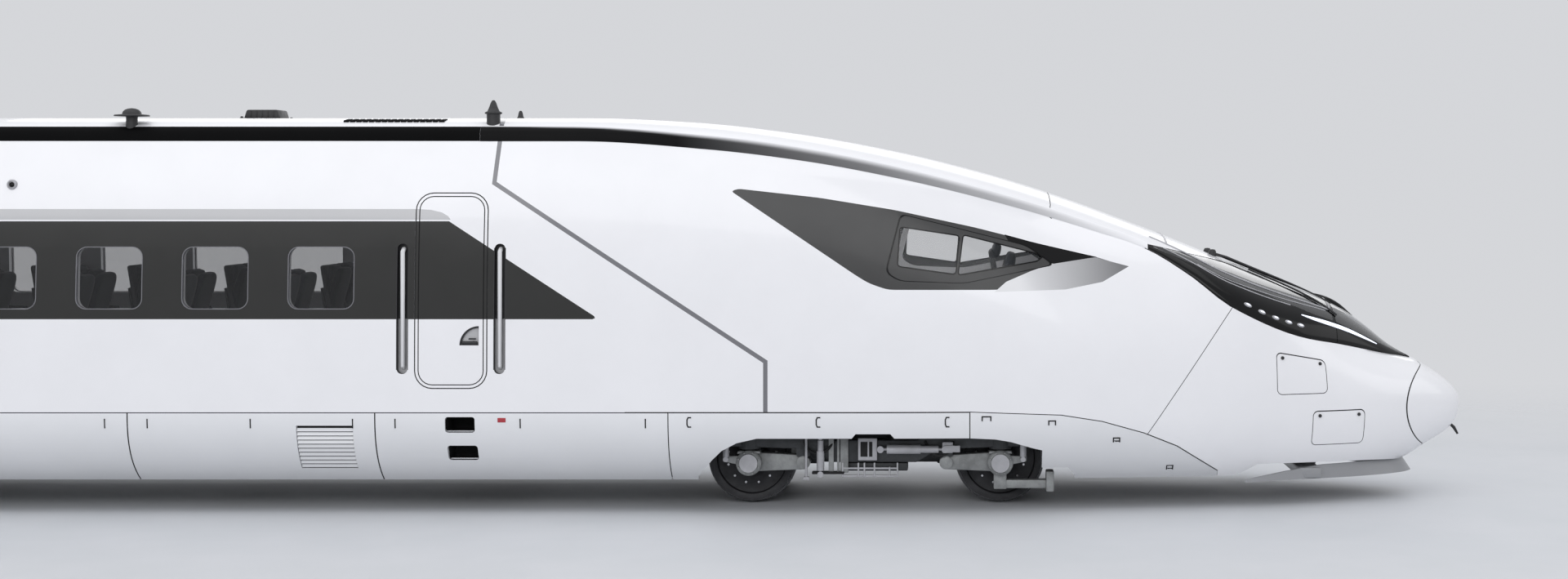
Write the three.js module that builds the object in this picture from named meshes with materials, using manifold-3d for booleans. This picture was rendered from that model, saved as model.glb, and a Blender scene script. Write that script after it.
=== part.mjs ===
// High speed train front car: the driving trailer of a fixed-formation electric train.
// Millimetres, +X towards the nose, +Y to the left of the train, +Z up. The group's origin is on the
// floor under the middle of the car, which stands on its wheel flanges.
import * as THREE from "three";
import { mergeVertices } from "three/addons/utils/BufferGeometryUtils.js";
import Module from "manifold-3d";

const wasm = await Module();
wasm.setup();

// ---------------------------------------------------------------- driving dimensions
// Heights are above the rail head. The whole car is raised by the flange height at the end.
const HALF_LENGTH = 13200; // nose tip and rear gangway face, from the origin
const HALF_WIDTH = 1550;
const ROOF_TOP = 3870;
const WAIST = 976; // widest height, where the body side meets the skirt
const FLOOR_TOP = 1214;
const FLOOR_THICKNESS = 160;
const SKIRT_BOTTOM = 275;
const BODY_REAR = -12900;
const END_WALL = 80;
const SEAM = 6; // gap between neighbouring outer panels
const TOUCH = 0.4; // gap between pieces that rest on each other

const WALL = 100;
const NOSE_WALL = 60;
const SKIRT_WALL = 50;

const FRONT_BOGIE_X = 7113;
const REAR_BOGIE_X = -10287;
const WHEELBASE = 2500;
const WHEEL_RADIUS = 425;
const FLANGE_HEIGHT = 28;
const WHEEL_INNER_FACE = 680; // half the back-to-back distance
const WHEEL_WIDTH = 135;

const WINDOW = { count: 13, front: 1415, pitch: 1032, width: 651, low: 1976, high: 2588, corner: 110 };
const DOOR = { rear: 2662, front: 3353, low: FLOOR_TOP, high: 3104, corner: 165 };
const PARTITION_X = 2380;
const CAB_BULKHEAD_X = 6500;
const FAR = 6000; // beyond the car's width and height, for cutters
const BEYOND = 18000; // beyond the car's ends

// ---------------------------------------------------------------- materials
const paint = (color, roughness = 0.3) => new THREE.MeshStandardMaterial({ color, roughness, metalness: 0.1 });
const steel = (color, roughness = 0.5) => new THREE.MeshStandardMaterial({ color, roughness, metalness: 0.8 });
const WHITE = paint(0xf3f4f6);
const DARK = paint(0x3c3c3b);
const BLACK = paint(0x141416);
const GLASS = new THREE.MeshStandardMaterial({ color: 0x2b2d30, roughness: 0.05, transparent: true, opacity: 0.4 });
const FRAME_GREY = steel(0x55585b);
const WHEEL_STEEL = steel(0x44464a, 0.4);
const DAMPER_GREY = steel(0x8a8a8e);
const INTERIOR = paint(0x9da0a5, 0.7);
const SEAT_CLOTH = new THREE.MeshStandardMaterial({ color: 0x3f434c, roughness: 0.95 });
const RUBBER = new THREE.MeshStandardMaterial({ color: 0x1b1b1c, roughness: 0.9 });

// ---------------------------------------------------------------- solids
function toSolid(geometry) {
  const bare = geometry.clone();
  bare.deleteAttribute("normal");
  bare.deleteAttribute("uv");
  const merged = mergeVertices(bare, 1e-3);
  return new wasm.Manifold(
    new wasm.Mesh({
      numProp: 3,
      vertProperties: new Float32Array(merged.attributes.position.array),
      triVerts: new Uint32Array(merged.index.array),
    }),
  );
}

function toGeometry(solid) {
  const { numProp, vertProperties, triVerts } = solid.getMesh();
  const positions = new Float32Array((vertProperties.length / numProp) * 3);
  for (let i = 0; i < positions.length / 3; i++) {
    positions.set(vertProperties.subarray(i * numProp, i * numProp + 3), i * 3);
  }
  const geometry = new THREE.BufferGeometry();
  geometry.setAttribute("position", new THREE.BufferAttribute(positions, 3));
  geometry.setIndex(new THREE.BufferAttribute(new Uint32Array(triVerts), 1));
  geometry.computeVertexNormals();
  return geometry;
}

const unite = (...solids) => solids.reduce((sum, solid) => sum.add(solid));

// ---------------------------------------------------------------- prisms and round pieces
function outline(points) {
  return new THREE.Shape(points.map(([a, b]) => new THREE.Vector2(a, b)));
}

function roundedOutline(low, high, radius) {
  const [x0, z0] = low;
  const [x1, z1] = high;
  const shape = new THREE.Shape();
  shape.absarc(x1 - radius, z0 + radius, radius, -Math.PI / 2, 0);
  shape.absarc(x1 - radius, z1 - radius, radius, 0, Math.PI / 2);
  shape.absarc(x0 + radius, z1 - radius, radius, Math.PI / 2, Math.PI);
  shape.absarc(x0 + radius, z0 + radius, radius, Math.PI, Math.PI * 1.5);
  shape.closePath();
  return shape;
}

const extrude = (shape, depth, curveSegments = 3) =>
  new THREE.ExtrudeGeometry(shape, { depth, bevelEnabled: false, curveSegments });

// A shape drawn in X and Z, carried across the car from y0 to y1.
function sidePrism(shape, y0, y1, curveSegments) {
  return toSolid(extrude(shape, y1 - y0, curveSegments).rotateX(Math.PI / 2).translate(0, y1, 0));
}

// A shape drawn in X and Y, carried up from z0 to z1.
function planPrism(shape, z0, z1) {
  return toSolid(extrude(shape, z1 - z0).translate(0, 0, z0));
}

// A shape drawn in Y and Z, carried along the car from x0 to x1.
const ALONG_CAR = new THREE.Matrix4().makeBasis(
  new THREE.Vector3(0, 1, 0),
  new THREE.Vector3(0, 0, 1),
  new THREE.Vector3(1, 0, 0),
);
function frontPrism(shape, x0, x1) {
  return toSolid(extrude(shape, x1 - x0).applyMatrix4(ALONG_CAR).translate(x0, 0, 0));
}

function box([x0, y0, z0], [x1, y1, z1]) {
  const geometry = new THREE.BoxGeometry(x1 - x0, y1 - y0, z1 - z0);
  return toSolid(geometry.translate((x0 + x1) / 2, (y0 + y1) / 2, (z0 + z1) / 2));
}

// A round bar from a to b, with true flats: its polygon is drawn round the circle.
function bar(radius, a, b, sides = 12) {
  const from = new THREE.Vector3(...a);
  const along = new THREE.Vector3(...b).sub(from);
  const geometry = new THREE.CylinderGeometry(radius, radius, along.length(), sides);
  const turn = new THREE.Quaternion().setFromUnitVectors(new THREE.Vector3(0, 1, 0), along.clone().normalize());
  const middle = from.addScaledVector(along, 0.5);
  return toSolid(geometry.applyQuaternion(turn).translate(middle.x, middle.y, middle.z));
}

// ---------------------------------------------------------------- body surface
// u is the distance behind the nose tip. Each law below runs smoothly through a few stations of
// [u, value]; working in the root of u makes the tip round.
function smoothLaw(stations) {
  const s = stations.map(([u]) => Math.sqrt(u));
  const v = stations.map(([, value]) => value);
  const last = s.length - 1;
  const step = s.slice(1).map((next, i) => next - s[i]);
  const rise = step.map((h, i) => (v[i + 1] - v[i]) / h);
  const slope = s.map((_, i) => {
    if (i === 0) return rise[0];
    if (i === last) return 0;
    if (rise[i - 1] * rise[i] <= 0) return 0;
    const a = 2 * step[i] + step[i - 1];
    const b = step[i] + 2 * step[i - 1];
    return (a + b) / (a / rise[i - 1] + b / rise[i]);
  });
  return (u) => {
    const at = Math.sqrt(Math.max(u, 0));
    if (at >= s[last]) return v[last];
    let i = 0;
    while (at > s[i + 1]) i++;
    const h = step[i];
    const t = (at - s[i]) / h;
    const t2 = t * t;
    const t3 = t2 * t;
    return (
      v[i] * (2 * t3 - 3 * t2 + 1) +
      slope[i] * h * (t3 - 2 * t2 + t) +
      v[i + 1] * (3 * t2 - 2 * t3) +
      slope[i + 1] * h * (t3 - t2)
    );
  };
}

const NOSE_X = HALF_LENGTH;
const TIP_HEIGHT = 923;
const RIDGE_END = 520; // where the two edges of the windscreen mask meet on the centreline
const CHIN = 620; // behind this the body is open below
const FULL_SECTION = 9000; // behind this the section stays the same
const TAPER = 6500;

// Centreline of the roof, bonnet and nose.
const topHeight = smoothLaw([
  [0, TIP_HEIGHT], [140, 1146], [395, 1318], [740, 1515], [1060, 1770], [1300, 1930], [1480, 2015],
  [2300, 2335], [3300, 2735], [4850, 3270], [5900, 3532], [6900, 3712], [7950, 3828],
  [FULL_SECTION, ROOF_TOP],
]);
// Shoulder crease, which becomes the lower edge of the windscreen mask ahead of u = 3400.
const creaseHeight = smoothLaw([
  [0, TIP_HEIGHT - 2], [140, 1144], [RIDGE_END, 1378], [820, 1440], [1400, 1575], [1780, 1652],
  [2540, 1975], [2960, 2295], [3400, 2560], [3900, 2725], [4900, 3018], [5850, 3248],
  [6800, 3423], [7750, 3535], [FULL_SECTION, 3612],
]);
const creaseHalfWidth = smoothLaw([
  [0, 6], [RIDGE_END, 6], [820, 260], [1400, 680], [1780, 900], [2540, 1130],
  [2960, 1080], [3400, 990], [3900, 1010], [4900, 1180], [5850, 1300], [6800, 1365],
  [FULL_SECTION, 1380],
]);
// Virtual lowest point of the lower curve, and the real lower edge behind the chin.
const keelHeight = smoothLaw([
  [0, TIP_HEIGHT], [85, 675], [225, 570], [395, 477], [CHIN, 340], [1200, 130], [2500, -13],
]);
const lowerEdge = smoothLaw([[0, 0], [CHIN, 348], [1200, 385], [2260, 394], [2490, SKIRT_BOTTOM]]);
const upperPower = smoothLaw([[0, 2.2], [2500, 2.3], [FULL_SECTION, 3]]);
const roofPower = smoothLaw([[0, 2], [3400, 2.1], [6000, 2.6], [FULL_SECTION, 3.6]]);
const LOWER_POWER = 2.4;

function halfWidth(u) {
  const t = Math.max(0, 1 - u / TAPER);
  return HALF_WIDTH * Math.pow(1 - Math.pow(t, 2.2), 0.62);
}

const LOWER_STEPS = [0, 0.35, 0.7]; // shares of the way up from the lower edge to the waist
const SIDE_STEPS = [0, 0.33, 0.652, 0.85]; // shares of the way from the waist to the crease
const ROOF_ANGLES = [0, 22, 44, 66];

// Half a section at u, as [y, z] from the lower edge up to the centre of the roof.
function halfSection(u) {
  const w = halfWidth(u);
  const keel = keelHeight(u);
  const bottom = u <= CHIN ? keel + 1 : Math.max(lowerEdge(u), keel + 1);
  const top = topHeight(u);
  const shoulder = Math.min(creaseHeight(u), top - 2);
  const shoulderWidth = Math.min(creaseHalfWidth(u), 0.97 * w);
  const n = upperPower(u);
  const r = roofPower(u);
  const points = [];
  for (const share of LOWER_STEPS) {
    const z = bottom + share * (waistHeight(u) - bottom);
    const depth = (waistHeight(u) - z) / (waistHeight(u) - keel);
    points.push([Math.max(6, w * Math.pow(1 - Math.pow(depth, LOWER_POWER), 1 / LOWER_POWER)), z]);
  }
  const closing = 1 - Math.pow(shoulderWidth / w, n);
  for (const share of SIDE_STEPS) {
    const z = waistHeight(u) + share * (shoulder - waistHeight(u));
    points.push([w * Math.pow(1 - closing * Math.pow(share, n), 1 / n), z]);
  }
  for (const degrees of ROOF_ANGLES) {
    const angle = THREE.MathUtils.degToRad(degrees);
    points.push([
      shoulderWidth * Math.pow(Math.cos(angle), 2 / r),
      shoulder + (top - shoulder) * Math.pow(Math.sin(angle), 2 / r),
    ]);
  }
  points.push([0, top]);
  return points;
}

// The widest height comes down to the tip's height at the very front.
function waistHeight(u) {
  return TIP_HEIGHT + (WAIST - TIP_HEIGHT) * Math.min(1, u / 2000);
}

// The same section drawn in towards its middle by a wall thickness; it runs on down where the body is open.
function insetSection(u, wall) {
  const front = Math.max(u - 0.8 * wall, 1);
  const middle = waistHeight(front);
  const across = 1 - wall / halfWidth(front);
  const up = 1 - wall / (topHeight(front) - middle);
  const open = u > CHIN + wall;
  const down = open ? 1 : 1 - wall / (middle - keelHeight(front));
  const points = halfSection(front).map(([y, z]) => [y * across, middle + (z - middle) * (z > middle ? up : down)]);
  if (open) points[0] = points[0].map((value, i) => value + (value - points[1][i]) * 1.2);
  return points;
}

const STATIONS = [
  3, 20, 60, 130, 230, 380, RIDGE_END, CHIN, 720, 880, 1100, 1300, 1480, 1780, 2160, 2490, 2750, 3050, 3400,
  3900, 4400, 4900, 5400, 5850, 6300, 6800, 7400, 8100, FULL_SECTION, NOSE_X - BODY_REAR,
];

// The body's outer form, or its form inside a wall of the given thickness, as one closed solid.
function bodyForm(wall) {
  const first = wall > 0 ? 1.6 * wall : 0;
  const stations = STATIONS.filter((u) => u > first);
  const rings = stations.map((u) => {
    const half = wall > 0 ? insetSection(u, wall) : halfSection(u);
    const right = half.map(([y, z]) => [NOSE_X - u, -y, z]);
    const left = half.slice(0, -1).reverse().map(([y, z]) => [NOSE_X - u, y, z]);
    return [...right, ...left];
  });
  const count = rings[0].length;
  const vertices = rings.flat();
  const index = [];
  for (let i = 0; i + 1 < rings.length; i++) {
    for (let j = 0; j < count; j++) {
      const a = i * count + j;
      const b = i * count + ((j + 1) % count);
      index.push(a, b, a + count, b, b + count, a + count);
    }
  }
  const tipX = wall > 0 ? NOSE_X - stations[0] + 20 : NOSE_X;
  const tip = vertices.push([tipX, 0, TIP_HEIGHT]) - 1;
  const lastRing = (rings.length - 1) * count;
  const rearX = NOSE_X - stations[stations.length - 1];
  const rear = vertices.push([rearX, 0, (WAIST + ROOF_TOP) / 2]) - 1;
  for (let j = 0; j < count; j++) {
    const next = (j + 1) % count;
    index.push(tip, next, j);
    index.push(rear, lastRing + j, lastRing + next);
  }
  const geometry = new THREE.BufferGeometry();
  geometry.setAttribute("position", new THREE.BufferAttribute(new Float32Array(vertices.flat()), 3));
  geometry.setIndex(index);
  return toSolid(geometry);
}

const OUTER = bodyForm(0);
const form = new Map();
const inside = (wall) => form.get(wall) ?? form.set(wall, bodyForm(wall)).get(wall);
const shell = (wall) => OUTER.subtract(inside(wall));
const skin = (depth) => OUTER.subtract(inside(depth));
// A cutter that sinks a prism's outline into the outer surface by a depth.
const sink = (prism, depth) => prism.subtract(inside(depth));

const SIDES = [
  ["right", -1],
  ["left", 1],
];
// A cutter drawn in X and Z that reaches through one side of the car only.
const throughSide = (shape, side, curveSegments) =>
  side < 0 ? sidePrism(shape, -FAR, -1, curveSegments) : sidePrism(shape, 1, FAR, curveSegments);
const reach = (x0, z0, x1, z1) => box([x0, -FAR, z0], [x1, FAR, z1]);

// ---------------------------------------------------------------- seams of the body
const JOINT_X = 4700; // front end of the saloon body; the cab module starts here
const ROOF_SEAM = 3560;
const BAND = { low: 1881, high: 2834, front: 2440, depth: 14 };

// The cab module ends and the nose begins along this slanting seam.
const NOSE_SEAM = [[10680, 1985], [9780, 700]];
// The cowl's lower seam drops from the waist to the bottom edge in a long curve.
const COWL_LINE = [[8058, 976], [8950, 939], [9355, 872], [9770, 751], [10105, 611], [10535, 335], [10535, -500]];

function offset(points, dx, dz) {
  return points.map(([x, z]) => [x + dx, z + dz]);
}
// Everything above the waist and the cowl's lower seam.
function aboveCowlLine(gap) {
  return outline([
    [-BEYOND, WAIST + gap], ...offset(COWL_LINE, gap * 0.7, gap), [BEYOND, -500], [BEYOND, FAR], [-BEYOND, FAR],
  ]);
}
// Everything behind the nose seam.
function behindNoseSeam(gap) {
  const [top, low] = offset(NOSE_SEAM, -gap, 0);
  const slope = (top[0] - low[0]) / (top[1] - low[1]);
  return outline([[-BEYOND, -500], [low[0] - slope * (low[1] + 500), -500], top, [top[0], FAR], [-BEYOND, FAR]]);
}
const creasePoints = (from, to, steps, lift) =>
  Array.from({ length: steps + 1 }, (_, i) => {
    const u = from + ((to - from) * i) / steps;
    return [NOSE_X - u, creaseHeight(u) + lift];
  });

// The windscreen mask: above the crease, and ahead of the roof's sloping front edge.
const MASK_REAR = { edge: [9812, 2600], middle: [10728, 2388] };
const SCREEN_FOOT = 1400; // u of the windscreen's front edge, where the dark hood takes over
function maskOutline(from, to, gap) {
  const crease = creasePoints(from, to, 14, gap);
  const back = NOSE_X - to;
  const ahead = NOSE_X - from;
  return outline([...crease, [back, creaseHeight(to) + gap], [back, FAR], [ahead, FAR]]);
}
// The roof cover's front edge as a cutter: everything ahead of and below it.
function aheadOfRoofEdge(gap) {
  const { edge, middle } = MASK_REAR;
  const slope = (middle[1] - edge[1]) / (middle[0] - edge[0]);
  const at = (x) => edge[1] + slope * (x - edge[0]) - gap;
  const last = middle[0] + 400;
  return outline([
    [edge[0] + gap, -500], [BEYOND, -500], [BEYOND, FAR],
    [last, FAR], [last, at(last)], [edge[0] + gap, at(edge[0])],
  ]);
}

// The coupler covers meet the nose along an arc whose middle lies furthest back.
const COVER_ARC = { centre: [13000, 913], radius: 470, reach: 60 };
function coverSeam() {
  const { centre, radius, reach: degrees } = COVER_ARC;
  const steps = 12;
  return Array.from({ length: steps + 1 }, (_, i) => {
    const angle = THREE.MathUtils.degToRad(180 + degrees - (2 * degrees * i) / steps);
    return [centre[0] + radius * Math.cos(angle), centre[1] + radius * Math.sin(angle)];
  });
}
function aheadOfCoverSeam(gap) {
  const seam = offset(coverSeam(), gap, 0);
  const [low, high] = [seam[0], seam[seam.length - 1]];
  return outline([[BEYOND, -500], [BEYOND, FAR], [high[0], FAR], ...seam.reverse(), [low[0], -500]]);
}

// ---------------------------------------------------------------- saloon body
function windowCutter(side, grow) {
  const cuts = [];
  for (let i = 0; i < WINDOW.count; i++) {
    const x = WINDOW.front - i * WINDOW.pitch;
    const shape = roundedOutline(
      [x - grow, WINDOW.low - grow],
      [x + WINDOW.width + grow, WINDOW.high + grow],
      WINDOW.corner + grow,
    );
    cuts.push(throughSide(shape, side, 1));
  }
  return unite(...cuts);
}
const doorOutline = (grow) =>
  roundedOutline([DOOR.rear - grow, DOOR.low - grow], [DOOR.front + grow, DOOR.high + grow], DOOR.corner + grow);
const bandCutter = (side, grow) =>
  throughSide(
    outline([
      [BODY_REAR - 50, BAND.low - grow], [BAND.front + grow, BAND.low - grow],
      [BAND.front + grow, BAND.high + grow], [BODY_REAR - 50, BAND.high + grow],
    ]),
    side,
  );

const GRAB_RECESS = { length: 104, low: 1349, high: 2615, depth: 62 };
const grabRecesses = (side) => {
  const cut = (x) =>
    throughSide(
      roundedOutline([x, GRAB_RECESS.low], [x + GRAB_RECESS.length, GRAB_RECESS.high], 45),
      side,
    );
  return sink(unite(cut(DOOR.rear - 180), cut(DOOR.front + 75)), GRAB_RECESS.depth);
};

function sideWall(side) {
  const whole = shell(WALL)
    .intersect(reach(BODY_REAR, WAIST, JOINT_X, ROOF_SEAM))
    .intersect(throughSide(outline([[-BEYOND, 0], [BEYOND, 0], [BEYOND, FAR], [-BEYOND, FAR]]), side));
  return whole
    .subtract(windowCutter(side, 0))
    .subtract(throughSide(doorOutline(SEAM), side))
    .subtract(sink(bandCutter(side, 2), BAND.depth + TOUCH))
    .subtract(grabRecesses(side));
}
const windowBand = (side) =>
  skin(BAND.depth).intersect(bandCutter(side, 0)).intersect(reach(BODY_REAR, 0, FAR, FAR));
const door = (side) => shell(WALL).intersect(throughSide(doorOutline(0), side));

function roofPanel() {
  return shell(WALL).intersect(reach(BODY_REAR, ROOF_SEAM + SEAM, JOINT_X, FAR)).add(roofAntennas());
}

// ---------------------------------------------------------------- cab module and nose
const CAB_GLASS = [[7380, 2905], [7235, 2335], [7370, 2250], [8000, 2225], [8890, 2400], [8620, 2590]];
const CAB_GLASS_DEPTH = 14;
const CAB_GLASS_MIDDLE = [7950, 2530];
const cabGlassOutline = (scale) =>
  outline(
    CAB_GLASS.map(([x, z]) => {
      const [middleX, middleZ] = CAB_GLASS_MIDDLE;
      return [middleX + (x - middleX) * scale, middleZ + (z - middleZ) * scale];
    }),
  );

function cabShell() {
  let cab = shell(WALL)
    .intersect(reach(JOINT_X + SEAM, 0, NOSE_X, FAR))
    .intersect(sidePrism(aboveCowlLine(SEAM / 2), -FAR, FAR))
    .intersect(sidePrism(behindNoseSeam(SEAM / 2), -FAR, FAR));
  const mask = sidePrism(maskOutline(SCREEN_FOOT - 900, 3400, -SEAM / 2), -FAR, FAR).intersect(
    sidePrism(aheadOfRoofEdge(-SEAM / 2), -FAR, FAR),
  );
  cab = cab.subtract(mask);
  for (const [, side] of SIDES) {
    cab = cab
      .subtract(throughSide(cabGlassOutline(0.84), side))
      .subtract(sink(throughSide(cabGlassOutline(1.01), side), CAB_GLASS_DEPTH + TOUCH));
  }
  return cab;
}
const cabSideGlazing = (side) => skin(CAB_GLASS_DEPTH).intersect(throughSide(cabGlassOutline(1), side));

// ---------------------------------------------------------------- nose hatches
// Half width of the outer surface at u and height z, between the lower edge and the crease.
function surfaceHalfWidth(u, z) {
  const w = halfWidth(u);
  const waist = waistHeight(u);
  if (z < waist) {
    const depth = (waist - z) / (waist - keelHeight(u));
    return w * Math.pow(1 - Math.pow(depth, LOWER_POWER), 1 / LOWER_POWER);
  }
  const n = upperPower(u);
  const closing = 1 - Math.pow(Math.min(creaseHalfWidth(u), 0.97 * w) / w, n);
  return w * Math.pow(1 - closing * Math.pow((z - waist) / (creaseHeight(u) - waist), n), 1 / n);
}

const HATCHES = {
  upper: { rear: 11126, front: 11648, low: 1100, high: 1480 },
  lower: { rear: 11484, front: 12033, low: 580, high: 915 },
};
const HATCH = { thick: 30, stand: 12, gap: 6, topGap: 10, corner: 50 };

// Each hatch is hinged along its lower edge, on an axis just outside the skin. The frame's x runs along
// the hinge towards the nose, its y up the hatch and its z out of the car.
function hatchFrame({ rear, front, low, high }, side) {
  const surface = (x, z) => new THREE.Vector3(x, side * surfaceHalfWidth(NOSE_X - x, z), z);
  const start = surface(rear, low);
  const along = surface(front, low).sub(start);
  const width = along.length();
  along.normalize();
  const up = surface((rear + front) / 2, high).sub(start);
  up.addScaledVector(along, -up.dot(along));
  const height = up.length();
  up.normalize();
  const out = new THREE.Vector3().crossVectors(along, up).multiplyScalar(-side);
  start.addScaledVector(out, HATCH.stand);
  return { start, along, up, out, width, height };
}
function hatchCutter(place, side, grow, topGrow) {
  const { start, along, up, out, width, height } = hatchFrame(place, side);
  const shape = roundedOutline([-grow, -grow], [width + grow, height + topGrow], HATCH.corner + grow);
  const depth = 400;
  const geometry = extrude(shape, depth, 2).translate(0, 0, -depth / 2);
  const across = out.clone().multiplyScalar(-side); // keeps the frame right-handed on both sides
  return toSolid(geometry.applyMatrix4(new THREE.Matrix4().makeBasis(along, up, across).setPosition(start)));
}
function hatch(place, side) {
  return skin(HATCH.thick).intersect(hatchCutter(place, side, 0, 0));
}

function noseCowl() {
  const openings = [];
  for (const place of Object.values(HATCHES)) {
    for (const [, side] of SIDES) openings.push(hatchCutter(place, side, HATCH.gap, HATCH.topGap));
  }
  return shell(NOSE_WALL)
    .intersect(sidePrism(aboveCowlLine(SEAM / 2), -FAR, FAR))
    .subtract(sidePrism(behindNoseSeam(-SEAM / 2), -FAR, FAR))
    .subtract(sidePrism(maskOutline(RIDGE_END, 3400, -SEAM / 2), -FAR, FAR))
    .subtract(sidePrism(aheadOfCoverSeam(-8), -FAR, FAR))
    .subtract(unite(...openings));
}
function windscreen() {
  return shell(NOSE_WALL)
    .intersect(sidePrism(maskOutline(SCREEN_FOOT + SEAM, 3400, SEAM / 2), -FAR, FAR))
    .intersect(sidePrism(aheadOfRoofEdge(SEAM / 2), -FAR, FAR));
}
function headlampHood() {
  return shell(NOSE_WALL).intersect(sidePrism(maskOutline(RIDGE_END + SEAM, SCREEN_FOOT, SEAM / 2), -FAR, FAR));
}
function noseCover(side) {
  const half = side < 0 ? box([0, -FAR, -FAR], [BEYOND, -4, FAR]) : box([0, 4, -FAR], [BEYOND, FAR, FAR]);
  return shell(NOSE_WALL).intersect(sidePrism(aheadOfCoverSeam(0), -FAR, FAR)).intersect(half);
}

// ---------------------------------------------------------------- skirts, cowl and chin
const SKIRT_JOINTS = [BODY_REAR, -8370, 5121, 8058];

// The opening in the skirt beside a bogie, from the bogie's centre: longer and stepped at the end
// towards the near end of the car, so the rear bogie's is turned round.
const CUT_OUT = [
  [-1790, 0], [-1728, 316], [-1577, 495], [-1480, 590], [-1330, 670], [-1133, 716], [-207, 716], [-169, 761],
  [170, 761], [209, 716], [940, 716], [1350, 674], [1552, 612], [1655, 586], [1655, 401], [1909, 401], [1983, 316],
  [1983, 0],
];
const bogieOpening = (bogieX) =>
  outline(CUT_OUT.map(([x, z]) => [bogieX + Math.sign(bogieX) * x, z]));
const skirtRange = (from, to) => reach(from + SEAM / 2, 0, to - SEAM / 2, WAIST - SEAM);
const onSide = (side) =>
  side < 0 ? box([-BEYOND, -FAR, -FAR], [BEYOND, -300, FAR]) : box([-BEYOND, 300, -FAR], [BEYOND, FAR, FAR]);

const STEP_POCKETS = [
  { rear: 2954, front: 3240, low: 777, high: 928 },
  { rear: 2973, front: 3263, low: 505, high: 644 },
];
function skirt(side, from, to) {
  return shell(SKIRT_WALL).intersect(skirtRange(from, to)).intersect(onSide(side));
}
function bogieSkirt(side, from, to, bogieX) {
  return skirt(side, from, to).subtract(throughSide(bogieOpening(bogieX), side));
}
function middleSkirt(side) {
  let panel = skirt(side, SKIRT_JOINTS[1], SKIRT_JOINTS[2]);
  const inner = side * 1130;
  for (const { rear, front, low, high } of STEP_POCKETS) {
    const liner = box(
      [rear - 12, Math.min(inner, side * FAR), low - 12],
      [front + 12, Math.max(inner, side * FAR), high + 12],
    ).intersect(inside(SKIRT_WALL - 10));
    const hollow = box(
      [rear, Math.min(inner + side * 12, side * FAR), low],
      [front, Math.max(inner + side * 12, side * FAR), high],
    );
    panel = panel.add(liner).subtract(hollow);
  }
  const louvre = throughSide(outline([[1501, 409], [2054, 409], [2054, 846], [1501, 846]]), side);
  return panel.subtract(sink(louvre, 28));
}

function belowCowlLine(gap) {
  return outline([
    [SKIRT_JOINTS[3] + gap, -500], [SKIRT_JOINTS[3] + gap, WAIST - gap],
    ...offset(COWL_LINE.slice(1), -gap * 0.7, -gap),
  ]);
}
// The cowl beside the front bogie, cut back where the bogie's end shows.
function lowerCowl(side) {
  return shell(SKIRT_WALL)
    .intersect(throughSide(belowCowlLine(SEAM / 2), side))
    .intersect(onSide(side))
    .subtract(throughSide(bogieOpening(FRONT_BOGIE_X), side));
}

const FLOOR_FRONT = 11500;
const HEADSTOCK = { rear: 11250, front: FLOOR_FRONT, low: 860 };
const CHIN_PLATE = { tip: 12690, rear: 11200, half: 930, low: 205, high: 340, thick: 40 };
function chinDeflector() {
  const { tip, rear, half, low, high, thick } = CHIN_PLATE;
  const edge = (grow) => {
    const points = [];
    for (let i = -6; i <= 6; i++) {
      const t = i / 6;
      const x = tip - (tip - rear) * Math.pow(Math.abs(t), 1.8) - grow * (1 - 0.3 * t * t);
      points.push([x, t * (half - 0.7 * grow)]);
    }
    return points;
  };
  const band = outline([...edge(0), ...edge(thick).reverse()]);
  const plough = planPrism(band, low, high);
  const slant = outline([[tip + 10, low - 5], [tip - 130, low - 5], [tip - 5, high + 5], [tip + 10, high + 5]]);
  const front = sidePrism(slant, -200, 200);
  const { rear: beamRear, front: beamFront, low: hungFrom } = HEADSTOCK;
  const beam = box([beamRear + 130, -860, low + 25], [beamFront, 860, high - 5]);
  const posts = [-1, 1].map((side) =>
    box([beamRear + 130, side * 500 - 60, high - 10], [beamFront, side * 500 + 60, hungFrom - TOUCH]),
  );
  return unite(plough.subtract(front), beam, ...posts);
}

// ---------------------------------------------------------------- floor, ends and under-floor pieces
function underframe() {
  const cavity = inside(WALL + 3);
  const floorSlab = reach(BODY_REAR + END_WALL + TOUCH, FLOOR_TOP - FLOOR_THICKNESS, 10000, FLOOR_TOP);
  const noseSlab = reach(9990, FLOOR_TOP - FLOOR_THICKNESS, FLOOR_FRONT, FLOOR_TOP);
  const sole = [-1, 1].map((side) =>
    box([-12500, side * 1330 - 70, 990], [8000, side * 1330 + 70, FLOOR_TOP - 100]),
  );
  const spine = box([8900, -520, 990], [HEADSTOCK.front, 520, FLOOR_TOP - 50]);
  const headstock = box([HEADSTOCK.rear, -600, HEADSTOCK.low], [HEADSTOCK.front, 600, FLOOR_TOP - 50]);
  return unite(cavity.intersect(unite(floorSlab, noseSlab)), ...sole, spine, headstock);
}

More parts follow.
